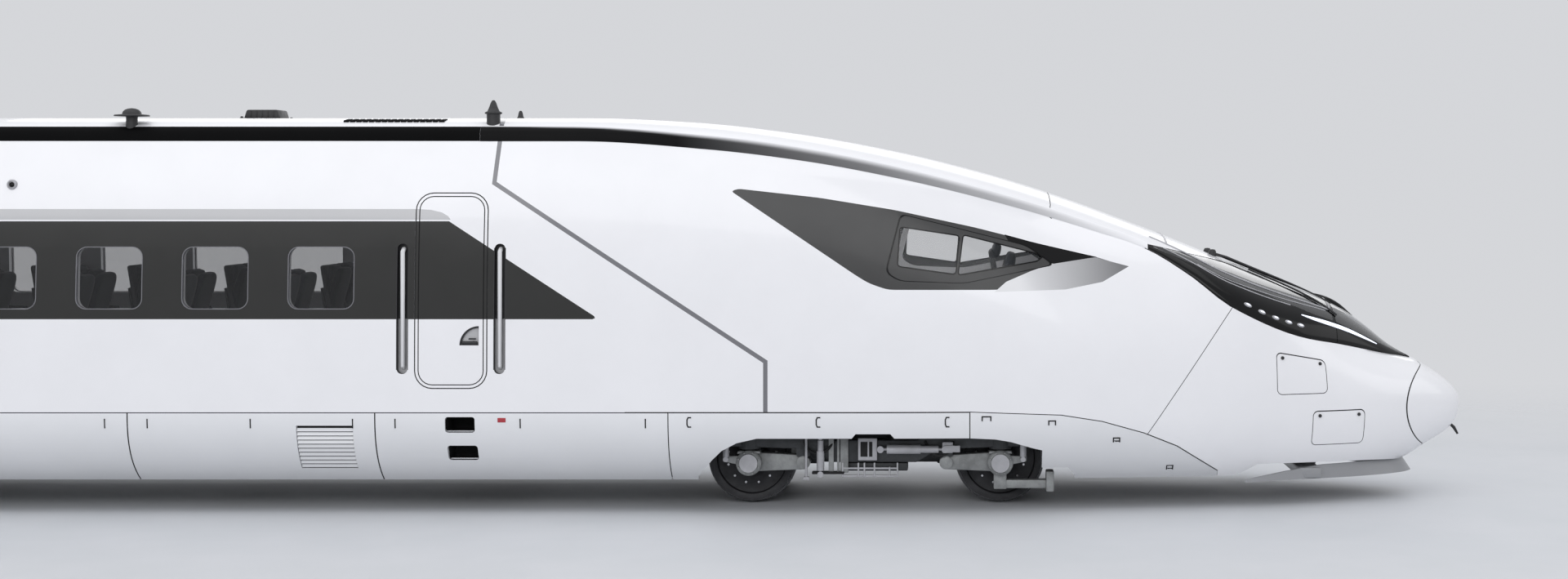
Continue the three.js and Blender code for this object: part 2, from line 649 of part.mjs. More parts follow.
const GANGWAY = { half: 480, low: FLOOR_TOP + 6, high: 3230 };
function rearEndWall() {
  const { half, high } = GANGWAY;
  const door = box([BODY_REAR - 10, -half, FLOOR_TOP], [BODY_REAR + END_WALL + 10, half, high]);
  return inside(WALL + TOUCH)
    .intersect(reach(BODY_REAR, FLOOR_TOP - FLOOR_THICKNESS, BODY_REAR + END_WALL, FAR))
    .subtract(door);
}
function gangwayBellows() {
  const ring = (grow, x0, x1) =>
    frontPrism(
      roundedOutline(
        [-GANGWAY.half - 60 - grow, GANGWAY.low - 20 - grow],
        [GANGWAY.half + 60 + grow, GANGWAY.high + 60 + grow],
        90 + grow,
      ),
      x0,
      x1,
    );
  const folds = [];
  const foldLength = 56;
  for (let i = 0; i < 5; i++) {
    const x = BODY_REAR - TOUCH - foldLength * (i + 1);
    folds.push(ring(i % 2 === 0 ? 95 : 60, x, x + foldLength));
  }
  const face = ring(95, -HALF_LENGTH, BODY_REAR - TOUCH - foldLength * 5);
  return unite(...folds, face).subtract(ring(0, -HALF_LENGTH - 10, BODY_REAR + 10));
}
function gangwayDoor() {
  const x = BODY_REAR + END_WALL + 6;
  const panel = box([x, -GANGWAY.half - 30, FLOOR_TOP + 8], [x + 36, GANGWAY.half + 30, GANGWAY.high + 30]);
  const light = frontPrism(roundedOutline([-230, 1900], [230, 2900], 60), x - 10, x + 60);
  return panel.subtract(light);
}
const COUPLER_HEIGHT = 890;
function rearCoupler() {
  const draft = box([-12420, -220, 740], [-12150, 220, 990 + 63]);
  const shank = bar(95, [-12300, 0, COUPLER_HEIGHT], [-13140, 0, COUPLER_HEIGHT], 12);
  const flange = bar(190, [-13140, 0, COUPLER_HEIGHT], [-13200, 0, COUPLER_HEIGHT], 16);
  return unite(draft, shank, flange);
}
const COUPLER_FACE = 12700;
function frontCoupler() {
  const pocket = box([HEADSTOCK.front + TOUCH, -230, 700], [HEADSTOCK.front + 120, 230, 1060]);
  const shank = bar(90, [HEADSTOCK.front + 100, 0, COUPLER_HEIGHT], [12420, 0, COUPLER_HEIGHT], 12);
  const head = box([12400, -170, COUPLER_HEIGHT - 170], [COUPLER_FACE, 170, COUPLER_HEIGHT + 150]);
  return unite(pocket, shank, head);
}

const UNDERFLOOR = [
  { rear: -8200, front: -5600, half: 1180, low: 330 },
  { rear: -5300, front: -2400, half: 1120, low: 300 },
  { rear: -2100, front: 400, half: 1180, low: 330 },
  { rear: 700, front: 2700, half: 1000, low: 380 },
  { rear: 3450, front: 4900, half: 1100, low: 330 },
];
function underfloorEquipment() {
  const raft = box([-8300, -700, 940], [5000, 700, FLOOR_TOP - FLOOR_THICKNESS - TOUCH]);
  const blocks = UNDERFLOOR.map(({ rear, front, half, low }) => box([rear, -half, low], [front, half, 950]));
  return unite(raft, ...blocks);
}

// Interior pieces that show through the windows.
function partition(x, doorHalf, doorHigh, low) {
  const hole = box([x - 10, -doorHalf, low], [x + 60, doorHalf, doorHigh]);
  return inside(WALL + TOUCH).intersect(reach(x, low + TOUCH, x + 40, FAR)).subtract(hole);
}
const SEAT_ROWS = { first: 1250, count: 13 };
function seats(side) {
  const near = side * 330;
  const far = side * 1350;
  const [y0, y1] = [Math.min(near, far), Math.max(near, far)];
  const last = SEAT_ROWS.first - (SEAT_ROWS.count - 1) * WINDOW.pitch;
  const rail = box(
    [last - 300, side * 840 - 60, FLOOR_TOP + TOUCH],
    [SEAT_ROWS.first + 400, side * 840 + 60, FLOOR_TOP + 60],
  );
  const rows = [];
  for (let i = 0; i < SEAT_ROWS.count; i++) {
    const x = SEAT_ROWS.first - i * WINDOW.pitch;
    const row = outline([
      [x + 60, 1260], [x + 160, 1560], [x + 440, 1600], [x + 450, 1690], [x + 120, 1690], [x - 70, 2300],
      [x - 200, 2300], [x - 30, 1600], [x - 60, 1260],
    ]);
    rows.push(sidePrism(row, y0, y1));
  }
  return unite(rail, ...rows);
}
function cabDesk() {
  const profile = outline([
    [9250, FLOOR_TOP + TOUCH], [9350, FLOOR_TOP + 500], [9250, FLOOR_TOP + 820], [9550, FLOOR_TOP + 900],
    [10000, FLOOR_TOP + 860], [10050, FLOOR_TOP + TOUCH],
  ]);
  return sidePrism(profile, -FAR, FAR).intersect(inside(WALL + 60));
}
function driverSeat() {
  const profile = outline([
    [8440, 1320], [8700, 1320], [8750, 1750], [8930, 1770], [8930, 1860], [8560, 1860], [8390, 2560], [8260, 2560],
    [8440, 1800],
  ]);
  const base = box([8330, -260, FLOOR_TOP + TOUCH], [8760, 260, 1330]);
  return unite(sidePrism(profile, -255, 255), base);
}

// ---------------------------------------------------------------- bogies
const AXLE_HEIGHT = WHEEL_RADIUS;
const BOX_Y = 1035; // centre of the axle boxes and side frames
function wheelset() {
  const flats = 28;
  const round = 1 / Math.cos(Math.PI / flats); // so that the flats, not the corners, stand at the radius
  const tread = WHEEL_RADIUS * round;
  const flange = (WHEEL_RADIUS + FLANGE_HEIGHT) * round;
  const inner = WHEEL_INNER_FACE;
  const outer = WHEEL_INNER_FACE + WHEEL_WIDTH;
  const end = BOX_Y + 70;
  const half = [
    [95, inner - 20], [150, inner + 10], [tread - 80, inner + 40], [tread - 60, inner], [flange, inner + 8],
    [flange, inner + 24], [tread, inner + 38], [tread - 4, outer], [tread - 70, outer], [150, outer - 20],
    [65, outer + 15], [65, end],
  ];
  const mirrored = half.map(([r, y]) => [r, -y]).reverse();
  const profile = [[0, -end], ...mirrored, ...half, [0, end]].map(([r, y]) => new THREE.Vector2(r, y));
  return toSolid(new THREE.LatheGeometry(profile, flats, Math.PI / flats));
}

const BOGIE = { end: 1640, beamHalf: 90 };
// One side of a bogie: frame beam, axle boxes on their radius arms, springs and dampers.
function bogieSide(side) {
  const y0 = side * BOX_Y - BOGIE.beamHalf;
  const y1 = side * BOX_Y + BOGIE.beamHalf;
  const half = [
    [420, 420], [640, 560], [BOGIE.end - 60, 590], [BOGIE.end, 640], [BOGIE.end, 720], [640, 740], [420, 640],
  ];
  const mirrored = half.map(([x, z]) => [-x, z]).reverse();
  const pieces = [sidePrism(outline([...half, ...mirrored]), y0, y1)];
  const outer = side * (BOX_Y + BOGIE.beamHalf + 50);
  const inner = side * (BOX_Y - BOGIE.beamHalf - 20);
  for (const end of [-1, 1]) {
    const x = (end * WHEELBASE) / 2;
    const eye = x - end * 540;
    pieces.push(
      bar(128, [x, inner, AXLE_HEIGHT], [x, outer, AXLE_HEIGHT], 12),
      box(
        [Math.min(x, eye), side * BOX_Y - 50, AXLE_HEIGHT - 60],
        [Math.max(x, eye), side * BOX_Y + 50, AXLE_HEIGHT + 60],
      ),
      bar(105, [x, side * BOX_Y, AXLE_HEIGHT + 90], [x, side * BOX_Y, 640], 10),
      box([eye - 60, side * BOX_Y - 70, AXLE_HEIGHT - 70], [eye + 60, side * BOX_Y + 70, 600]),
    );
  }
  const damperY = side * (BOX_Y + 40);
  pieces.push(bar(62, [-560, damperY, 690], [300, damperY, 690], 10));
  pieces.push(box([300, damperY - 60, 560], [430, damperY + 60, 760]));
  return unite(...pieces);
}

// A guard iron and its low arm ahead of the leading wheel, hung from the axle box.
function guardIron(side) {
  const y0 = side * BOX_Y - 50;
  const y1 = side * BOX_Y + 50;
  const x = WHEELBASE / 2;
  return unite(
    box([x - 60, y0, 165], [x + 60, y1, AXLE_HEIGHT - 60]),
    box([x - 60, y0, 165], [x + 470, y1, 250]),
    box([x + 460, side * BOX_Y - 90, 135], [x + 540, side * BOX_Y + 90, 340]),
  );
}

function bogieFrame(front) {
  const pieces = SIDES.map(([, side]) => bogieSide(side));
  for (const x of [-330, 330]) pieces.push(bar(95, [x, -BOX_Y, 520], [x, BOX_Y, 520], 12));
  pieces.push(box([-430, -420, 400], [430, 420, 640]));
  // A traction motor and a gear case for each axle, hung between the cross tubes and the axle.
  for (const end of [-1, 1]) {
    pieces.push(box([Math.min(end * 330, end * 820), -430, 330], [Math.max(end * 330, end * 820), 330, 640]));
    pieces.push(box([Math.min(end * 600, end * 1060), -330, 300], [Math.max(end * 600, end * 1060), 200, 480]));
  }
  if (front) pieces.push(...SIDES.map(([, side]) => guardIron(side)));
  const bores = [];
  for (const x of [-WHEELBASE / 2, WHEELBASE / 2]) {
    for (const [, side] of SIDES) {
      bores.push(bar(72, [x, side * (BOX_Y - 300), AXLE_HEIGHT], [x, side * (BOX_Y + 78), AXLE_HEIGHT], 12));
    }
  }
  return unite(...pieces).subtract(unite(...bores));
}
// The body's half of the bogie connection: air springs and centre pin under the floor.
function bolster() {
  const pieces = [box([-420, -1180, 900], [420, 1180, FLOOR_TOP - FLOOR_THICKNESS - TOUCH])];
  const springY = 0.93 * BOX_Y;
  for (const [, side] of SIDES) pieces.push(bar(260, [0, side * springY, 760], [0, side * springY, 905], 20));
  pieces.push(bar(110, [0, 0, 680], [0, 0, 910], 12));
  return unite(...pieces);
}

// ---------------------------------------------------------------- roof antennas
// Each stands on the roof, its foot sunk a little into it: [radius, height above the foot's place] from
// the foot up. The two tall ones stand on the slope of the right shoulder.
const ANTENNAS = [
  { at: [3360, -1240, 3800], profile: [[0, -60], [66, -60], [66, 84], [84, 92], [84, 104], [44, 150], [0, 226]] },
  { at: [3346, 0, ROOF_TOP], profile: [[0, -40], [45, -40], [38, 60], [0, 95]] },
  {
    at: [-171, -1240, 3800],
    profile: [[0, -60], [56, -60], [56, 80], [165, 84], [165, 94], [92, 104], [66, 148], [0, 165]],
  },
];
const FLAT_ANTENNA = { rear: 560, front: 900, half: 160, high: 100 };
function roofAntennas() {
  const lathed = ANTENNAS.map(({ at, profile }) => {
    const points = profile.map(([r, z]) => new THREE.Vector2(r, z));
    return toSolid(new THREE.LatheGeometry(points, 12).rotateX(Math.PI / 2).translate(...at));
  });
  const { rear, front, half, high } = FLAT_ANTENNA;
  const flat = sidePrism(
    outline([
      [rear - 120, ROOF_TOP - 20], [front + 120, ROOF_TOP - 20], [front, ROOF_TOP + high], [rear, ROOF_TOP + high],
    ]),
    -half,
    half,
  );
  return unite(flat, ...lathed);
}

// ---------------------------------------------------------------- the train
const train = new THREE.Group();
train.name = "high_speed_train_front_car";
train.position.z = FLANGE_HEIGHT;
function add(name, solid, material, x = 0, z = 0) {
  const mesh = new THREE.Mesh(toGeometry(solid), material);
  mesh.name = name;
  mesh.position.set(x, 0, z);
  train.add(mesh);
}

for (const [label, side] of SIDES) {
  add(`side_wall_${label}`, sideWall(side), WHITE);
  add(`window_band_${label}`, windowBand(side), DARK);
  add(`entrance_door_${label}`, door(side), WHITE);
  add(`cab_side_glazing_${label}`, cabSideGlazing(side), GLASS);
  add(`nose_cover_${label}`, noseCover(side), WHITE);
  for (const [level, place] of Object.entries(HATCHES)) {
    add(`${level}_nose_hatch_${label}`, hatch(place, side), WHITE);
  }
  add(`rear_bogie_skirt_${label}`, bogieSkirt(side, SKIRT_JOINTS[0], SKIRT_JOINTS[1], REAR_BOGIE_X), WHITE);
  add(`middle_skirt_${label}`, middleSkirt(side), WHITE);
  add(`front_bogie_skirt_${label}`, bogieSkirt(side, SKIRT_JOINTS[2], SKIRT_JOINTS[3], FRONT_BOGIE_X), WHITE);
  add(`lower_cowl_${label}`, lowerCowl(side), WHITE);
  add(`saloon_seats_${label}`, seats(side), SEAT_CLOTH);
}
add("roof_panel", roofPanel(), WHITE);
add("cab_shell", cabShell(), WHITE);
add("nose_cowl", noseCowl(), WHITE);
add("windscreen", windscreen(), GLASS);
add("headlamp_hood", headlampHood(), DARK);
add("chin_deflector", chinDeflector(), FRAME_GREY);
add("underframe", underframe(), FRAME_GREY);
add("rear_end_wall", rearEndWall(), WHITE);
add("gangway_bellows", gangwayBellows(), RUBBER);
add("gangway_door", gangwayDoor(), INTERIOR);
add("rear_coupler", rearCoupler(), FRAME_GREY);
add("front_coupler", frontCoupler(), FRAME_GREY);
add("underfloor_equipment", underfloorEquipment(), FRAME_GREY);
add("saloon_partition", partition(PARTITION_X, 400, 3200, FLOOR_TOP), INTERIOR);
add("cab_bulkhead", partition(CAB_BULKHEAD_X, 350, 3150, FLOOR_TOP), INTERIOR);
add("cab_desk", cabDesk(), BLACK);
add("driver_seat", driverSeat(), SEAT_CLOTH);

for (const [label, x] of [["front", FRONT_BOGIE_X], ["rear", REAR_BOGIE_X]]) {
  add(`${label}_bolster`, bolster(), FRAME_GREY, x);
  add(`${label}_bogie_frame`, bogieFrame(label === "front"), DAMPER_GREY, x);
  add(`${label}_bogie_leading_wheelset`, wheelset(), WHEEL_STEEL, x + WHEELBASE / 2, AXLE_HEIGHT);
  add(`${label}_bogie_trailing_wheelset`, wheelset(), WHEEL_STEEL, x - WHEELBASE / 2, AXLE_HEIGHT);
}

export default train;
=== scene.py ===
"""High speed train front car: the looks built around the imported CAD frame.

Lengths in this file are millimetres in the car's own frame, heights counted from the rail head, until mm()
turns them into the frame's metres above the wheel flanges.
"""

import math

import bmesh
import bpy
import numpy as np
from mathutils import Matrix, Vector


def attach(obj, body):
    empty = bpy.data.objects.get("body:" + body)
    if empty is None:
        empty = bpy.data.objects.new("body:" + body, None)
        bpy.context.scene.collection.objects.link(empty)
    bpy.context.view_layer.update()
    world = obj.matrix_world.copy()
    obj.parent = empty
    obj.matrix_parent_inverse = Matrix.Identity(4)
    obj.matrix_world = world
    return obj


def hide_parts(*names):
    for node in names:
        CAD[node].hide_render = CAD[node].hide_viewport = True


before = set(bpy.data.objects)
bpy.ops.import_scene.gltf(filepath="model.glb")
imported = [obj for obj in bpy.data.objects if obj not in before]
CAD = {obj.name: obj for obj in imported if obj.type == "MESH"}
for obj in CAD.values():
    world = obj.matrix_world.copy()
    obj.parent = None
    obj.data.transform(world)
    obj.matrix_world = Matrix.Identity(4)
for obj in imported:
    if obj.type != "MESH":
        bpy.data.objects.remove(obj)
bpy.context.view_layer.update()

FLANGE_HEIGHT = 28.0
SIDES = (("right", -1), ("left", 1))
FAR = 6000.0


def mm(*values):
    """A point of the car in metres, as the frame holds it."""
    x, y, z = values
    return Vector((x / 1000, y / 1000, (z + FLANGE_HEIGHT) / 1000))


def car_mm(point):
    """A point of the frame in the car's millimetres."""
    x, y, z = (1000 * value for value in point)
    return x, y, z - FLANGE_HEIGHT


# ------------------------------------------------------------------ camera, floor and light
def make_camera():
    """A level camera on the car's right side, as far away as the view's perspective asks for."""
    data = bpy.data.cameras.new("camera")
    data.lens = 45.56
    data.sensor_width = 36
    data.shift_x = -0.112
    data.shift_y = -0.0695
    data.clip_end = 300
    camera = bpy.data.objects.new("camera", data)
    camera.location = mm(7958, -20850, 3231)
    camera.rotation_euler = (math.radians(90), 0, 0)
    bpy.context.scene.collection.objects.link(camera)
    bpy.context.scene.camera = camera


def area_light(name, place, target, size, power, color=(1, 1, 1)):
    """A rectangular soft light at a place, turned towards a target."""
    data = bpy.data.lights.new(name, "AREA")
    data.shape = "RECTANGLE"
    data.size, data.size_y = size
    data.energy = power
    data.color = color
    light = bpy.data.objects.new(name, data)
    light.location = place
    light.rotation_euler = (Vector(target) - Vector(place)).to_track_quat("-Z", "Y").to_euler()
    bpy.context.scene.collection.objects.link(light)


def make_studio():
    """An even pale surround with soft lights over, beside and ahead of the car, and two inside it."""
    scene = bpy.context.scene
    scene.view_settings.view_transform = "Standard"
    world = bpy.data.worlds.new("studio")
    world.use_nodes = True
    background = world.node_tree.nodes["Background"]
    background.inputs["Color"].default_value = (0.665, 0.675, 0.7, 1)
    background.inputs["Strength"].default_value = 1.0
    scene.world = world
    area_light("overhead", (3, -3, 13), (3, 0, 0), (30, 9), 700)
    area_light("camera_side", (2, -17, 8), (4, 0, 1.5), (26, 5), 730)
    area_light("far_side", (5, 16, 9), (5, 0, 1.5), (30, 6), 520)
    area_light("ahead", (24, -3, 6), (12, 0, 1.5), (8, 6), 120)
    area_light("saloon", (-5, 0, 3.55), (-5, 0, 0), (15, 0.5), 1.5)
    area_light("cab", (7.6, 0, 2.95), (7.9, 0, 0), (1.6, 0.8), 10)


# ------------------------------------------------------------------ materials
def new_material(name):
    """An empty material with its node tree and shader."""
    material = bpy.data.materials.new(name)
    material.use_nodes = True
    return material, material.node_tree, material.node_tree.nodes["Principled BSDF"]


def srgb(r, g, b):
    """A display colour from 0 to 255 as the linear colour that a shader takes."""
    def linear(c):
        c /= 255
        return c / 12.92 if c <= 0.04045 else ((c + 0.055) / 1.055) ** 2.4

    return (linear(r), linear(g), linear(b), 1)


def node(tree, kind, **inputs):
    """A new shader node with its inputs set by name."""
    made = tree.nodes.new(kind)
    for key, value in inputs.items():
        made.inputs[key.replace("_", " ")].default_value = value
    return made


def position(tree):
    return tree.nodes.new("ShaderNodeNewGeometry").outputs["Position"]


def noise(tree, scale, detail=4.0, roughness=0.6, stretch=None):
    """A noise texture in the object's own space."""
    texture = node(tree, "ShaderNodeTexNoise", Scale=scale, Detail=detail, Roughness=roughness)
    coordinate = tree.nodes.new("ShaderNodeTexCoord").outputs["Object"]
    if stretch:
        mapping = tree.nodes.new("ShaderNodeMapping")
        mapping.inputs["Scale"].default_value = stretch
        tree.links.new(coordinate, mapping.inputs["Vector"])
        coordinate = mapping.outputs["Vector"]
    tree.links.new(coordinate, texture.inputs["Vector"])
    return texture.outputs["Fac"]


def ramp(tree, value, stops):
    """A colour ramp over a value."""
    made = tree.nodes.new("ShaderNodeValToRGB")
    elements = made.color_ramp.elements
    while len(elements) < len(stops):
        elements.new(0.5)
    for element, (place, color) in zip(elements, stops):
        element.position = place
        element.color = color
    tree.links.new(value, made.inputs["Fac"])
    return made.outputs["Color"]


def remap(tree, value, low, high, out_low, out_high):
    """A value carried from one range to another."""
    made = tree.nodes.new("ShaderNodeMapRange")
    for key, number in zip(("From Min", "From Max", "To Min", "To Max"), (low, high, out_low, out_high)):
        made.inputs[key].default_value = number
    tree.links.new(value, made.inputs["Value"])
    return made.outputs["Result"]


def multiply(tree, a, b):
    """The product of two colours or sockets."""
    mix = tree.nodes.new("ShaderNodeMix")
    mix.data_type = "RGBA"
    mix.blend_type = "MULTIPLY"
    mix.inputs["Factor"].default_value = 1
    for value, socket in ((a, mix.inputs[6]), (b, mix.inputs[7])):
        if isinstance(value, tuple):
            socket.default_value = value
        else:
            tree.links.new(value, socket)
    return mix.outputs[2]


def bump(tree, shader, height, strength, distance):
    made = node(tree, "ShaderNodeBump", Strength=strength, Distance=distance)
    tree.links.new(height, made.inputs["Height"])
    tree.links.new(made.outputs["Normal"], shader.inputs["Normal"])


def rough(tree, shader, scale, detail, low, high):
    """Lets a shader's roughness vary between two values."""
    share = noise(tree, scale, detail)
    tree.links.new(remap(tree, share, 0.3, 0.7, low, high), shader.inputs["Roughness"])


def grey(value):
    return (value, value, value, 1)


def enamel(name, color, low_darkening=0.0, roughness=0.22, coat=0.5, specular=0.5):
    """Glossy vehicle paint: faint waviness, faint mottling and, where asked, a tone that gets darker towards
    the rail.
    """
    material, tree, shader = new_material(name)
    mottle = ramp(tree, noise(tree, 1.3, 5), [(0.35, grey(0.975)), (0.65, grey(1.0))])
    base = multiply(tree, color, mottle)
    if low_darkening:
        # the tone gets darker downwards, from 1.15 m to 0.28 m
        height = tree.nodes.new("ShaderNodeSeparateXYZ")
        tree.links.new(position(tree), height.inputs[0])
        low_tone = remap(tree, height.outputs["Z"], 0.28, 1.15, 1 - low_darkening, 1.0)
        shade = tree.nodes.new("ShaderNodeCombineColor")
        for socket in shade.inputs[:3]:
            tree.links.new(low_tone, socket)
        base = multiply(tree, base, shade.outputs[0])
    tree.links.new(base, shader.inputs["Base Color"])
    rough(tree, shader, 3.1, 3, roughness - 0.03, roughness + 0.05)
    shader.inputs["Coat Weight"].default_value = coat
    shader.inputs["Coat Roughness"].default_value = 0.06
    shader.inputs["Specular IOR Level"].default_value = specular
    bump(tree, shader, noise(tree, 240, 2), 0.04, 0.0004)
    return material


def enamel_with_painted_shade(name, color, dark):
    """Body paint darkened by a point attribute: painted shade over the shoulder crease, where the black roof
    band tapers out.
    """
    material = enamel(name, color, roughness=0.5, coat=0.0, specular=0.1)
    tree = material.node_tree
    shader = tree.nodes["Principled BSDF"]
    attribute = tree.nodes.new("ShaderNodeAttribute")
    attribute.attribute_name = "crease_painted_shade"
    mix = tree.nodes.new("ShaderNodeMix")
    mix.data_type = "RGBA"
    tree.links.new(attribute.outputs["Fac"], mix.inputs["Factor"])
    tree.links.new(shader.inputs["Base Color"].links[0].from_socket, mix.inputs[6])
    mix.inputs[7].default_value = dark
    tree.links.new(mix.outputs[2], shader.inputs["Base Color"])
    return material


def fading_enamel(name, first, second, start, end):
    """Paint that changes from one tone to another between two points of the car."""
    material, tree, shader = new_material(name)
    a, b = mm(*start), mm(*end)
    along = b - a
    dot = tree.nodes.new("ShaderNodeVectorMath")
    dot.operation = "DOT_PRODUCT"
    tree.links.new(position(tree), dot.inputs[0])
    dot.inputs[1].default_value = along / along.length_squared
    low = a.dot(along) / along.length_squared
    share = remap(tree, dot.outputs["Value"], low, low + 1, 0, 1)
    tone = ramp(tree, share, [(0, first), (1, second)])
    mottle = ramp(tree, noise(tree, 1.3, 5), [(0.35, grey(0.975)), (0.65, grey(1.0))])
    tree.links.new(multiply(tree, tone, mottle), shader.inputs["Base Color"])
    rough(tree, shader, 3.1, 3, 0.19, 0.27)
    shader.inputs["Coat Weight"].default_value = 0.4
    return material


def metal(name, color, roughness=0.45, metallic=0.75, grain=60, dirt=0.35):
    """Painted or bare metal with brake dust in patches and a fine cast grain."""
    material, tree, shader = new_material(name)
    patches = ramp(tree, noise(tree, 5, 8, 0.7), [(0.35, grey(1 - dirt)), (0.62, grey(1.0))])
    tree.links.new(multiply(tree, color, patches), shader.inputs["Base Color"])
    rough(tree, shader, 14, 4, roughness - 0.08, roughness + 0.12)
    shader.inputs["Metallic"].default_value = metallic
    bump(tree, shader, noise(tree, grain, 3), 0.12, 0.002)
    return material


def plastic(name, color, roughness=0.5, grain=400, depth=0.0003):
    """Moulded plastic, rubber or laminate with a fine pebble grain."""
    material, tree, shader = new_material(name)
    mottle = ramp(tree, noise(tree, 6, 4), [(0.35, grey(0.93)), (0.65, grey(1.0))])
    tree.links.new(multiply(tree, color, mottle), shader.inputs["Base Color"])
    rough(tree, shader, 20, 3, roughness - 0.05, roughness + 0.06)
    bump(tree, shader, noise(tree, grain, 2), 0.25, depth)
    return material


def glazing(name, color, alpha):
    """Tinted glass: see-through, glossy, with a faint roll of the surface."""
    material, tree, shader = new_material(name)
    tint = ramp(tree, noise(tree, 0.8, 2), [(0.3, color), (0.7, tuple(0.85 * c for c in color[:3]) + (1,))])
    tree.links.new(tint, shader.inputs["Base Color"])
    rough(tree, shader, 2.0, 2, 0.02, 0.05)
    shader.inputs["Alpha"].default_value = alpha
    shader.inputs["Coat Weight"].default_value = 1.0
    shader.inputs["Coat Roughness"].default_value = 0.02
    bump(tree, shader, noise(tree, 1.5, 1), 0.05, 0.002)
    return material


def cloth(name, color):
    """Woven moquette: a fine cross weave over soft colour patches."""
    material, tree, shader = new_material(name)
    coordinate = tree.nodes.new("ShaderNodeTexCoord").outputs["Object"]
    weave = node(tree, "ShaderNodeTexWave", Scale=160.0, Distortion=1.5, Detail=2.0)
    tree.links.new(coordinate, weave.inputs["Vector"])
    tone = ramp(tree, weave.outputs["Fac"], [(0.2, grey(0.75)), (0.8, grey(1.0))])
    tree.links.new(multiply(tree, color, tone), shader.inputs["Base Color"])
    shader.inputs["Roughness"].default_value = 0.95
    shader.inputs["Sheen Weight"].default_value = 0.3
    bump(tree, shader, weave.outputs["Fac"], 0.3, 0.001)
    return material


def glow(name, color, strength):
    """A lamp's lens that gives off light."""
    material, tree, shader = new_material(name)
    speckle = ramp(tree, noise(tree, 90, 2), [(0.3, grey(0.8)), (0.7, grey(1))])
    tree.links.new(multiply(tree, color, speckle), shader.inputs["Base Color"])
    shader.inputs["Emission Color"].default_value = color
    shader.inputs["Emission Strength"].default_value = strength
    shader.inputs["Roughness"].default_value = 0.1
    return material


def studio_floor():
    """Pale floor that fades into the backdrop away from the car."""
    material, tree, shader = new_material("studio_floor")
    tone = ramp(tree, noise(tree, 0.7, 3), [(0.3, srgb(205, 208, 212)), (0.7, srgb(211, 213, 217))])
    tree.links.new(tone, shader.inputs["Base Color"])
    shader.inputs["Roughness"].default_value = 0.55
    place = tree.nodes.new("ShaderNodeSeparateXYZ")
    tree.links.new(position(tree), place.inputs[0])
    shares = []
    for axis, near, far in (("Y", 3.0, 11.0), ("X", 13.0, 24.0)):
        distance = tree.nodes.new("ShaderNodeMath")
        distance.operation = "ABSOLUTE"
        tree.links.new(place.outputs[axis], distance.inputs[0])
        shares.append(remap(tree, distance.outputs[0], near, far, 1.0, 0.0))
    both = tree.nodes.new("ShaderNodeMath")
    both.operation = "MULTIPLY"
    for share, socket in zip(shares, both.inputs):
        tree.links.new(share, socket)
    tree.links.new(both.outputs[0], shader.inputs["Alpha"])
    return material


M = {
    "white": enamel("white_enamel", srgb(243, 243, 246)),
    # white paint that carries the painted shade over the shoulder crease
    "painted_shade_white": enamel_with_painted_shade("white_enamel_painted_shade_strip", srgb(243, 243, 246), srgb(14, 14, 15)),
    "fade": fading_enamel("mask_fade", srgb(226, 226, 228), srgb(120, 120, 122), (8560, 0, 2180),
                          (9560, 0, 2400)),
    "skirt": enamel("skirt_enamel", srgb(240, 241, 244), low_darkening=0.22),
    "band": enamel("band_enamel", srgb(46, 46, 45), coat=0.1, specular=0.3),
    "pale": enamel("pale_grey_enamel", srgb(191, 191, 193)),
    "line": enamel("line_grey_enamel", srgb(117, 117, 122)),
    "mask": enamel("mask_enamel", srgb(66, 66, 66), coat=0.1, specular=0.3),
    "black": enamel("black_gloss", srgb(9, 9, 10), roughness=0.12, coat=0.15, specular=0.2),
    "roof_black": enamel("roof_black", srgb(12, 12, 13), roughness=0.6, coat=0.0, specular=0.05),
    "chin": enamel("chin_grey", srgb(150, 151, 154), roughness=0.35, coat=0.2),
    "wheel": metal("wheel_steel", srgb(50, 50, 53), 0.5, 0.3),
    "tread": metal("tread_steel", srgb(150, 150, 152), 0.25, 0.95, grain=200, dirt=0.15),
    "bogie": metal("bogie_paint", srgb(66, 68, 70), 0.55, 0.2),
    "box": metal("axle_box_paint", srgb(158, 160, 160), 0.42, 0.25, dirt=0.4),
    "damper": metal("damper_grey", srgb(186, 186, 190), 0.35, 0.2, dirt=0.2),
    "bright": metal("bright_steel", srgb(190, 191, 194), 0.25, 0.9, grain=300, dirt=0.15),
    "under": metal("under_grey", srgb(96, 98, 100), 0.6, 0.2),
    "rubber": plastic("rubber", srgb(30, 30, 31), 0.8, 180, 0.001),
    "dark_plastic": plastic("dark_plastic", srgb(40, 40, 42)),
    "interior": plastic("interior_laminate", srgb(176, 177, 180), 0.6),
    "desk": plastic("desk_moulding", srgb(44, 45, 47), 0.6),
    "cloth": cloth("seat_moquette", srgb(52, 55, 62)),
    "rest": cloth("head_rest_cover", srgb(70, 73, 80)),
    "shell": plastic("seat_shell", srgb(70, 71, 74), 0.5),
    "floor": studio_floor(),
    "pane": glazing("saloon_glass", srgb(36, 37, 39), 0.22),
    "cab_pane": glazing("cab_glass", srgb(90, 94, 98), 0.1),
    "screen": glazing("windscreen_glass", srgb(16, 17, 19), 0.84),
    "lamp": glow("lamp_white", srgb(225, 232, 246), 1.2),
    "rail": enamel("rail_enamel", srgb(222, 222, 224), roughness=0.3),
    # dark rubber and sealant, which also serves as painted shadow in panel gaps and grooves
    "groove": plastic("dark_seal_and_gap_shadow", srgb(26, 26, 27), 0.8),
    "red": enamel("blank_red_plate", srgb(170, 40, 52)),
}

# ------------------------------------------------------------------ body surface
NOSE_X = 13200.0
HALF_WIDTH = 1550.0
ROOF_TOP = 3870.0
WAIST = 976.0
SKIRT_BOTTOM = 275.0
TIP_HEIGHT = 923.0
BODY_REAR = -12900.0
GANGWAY_FACE = -13200.0
RIDGE_END, CHIN, FULL_SECTION, TAPER = 520.0, 620.0, 9000.0, 6500.0
SEAM = 6.0
WALL, NOSE_WALL, SKIRT_WALL = 100.0, 60.0, 50.0
LOWER_POWER = 2.4


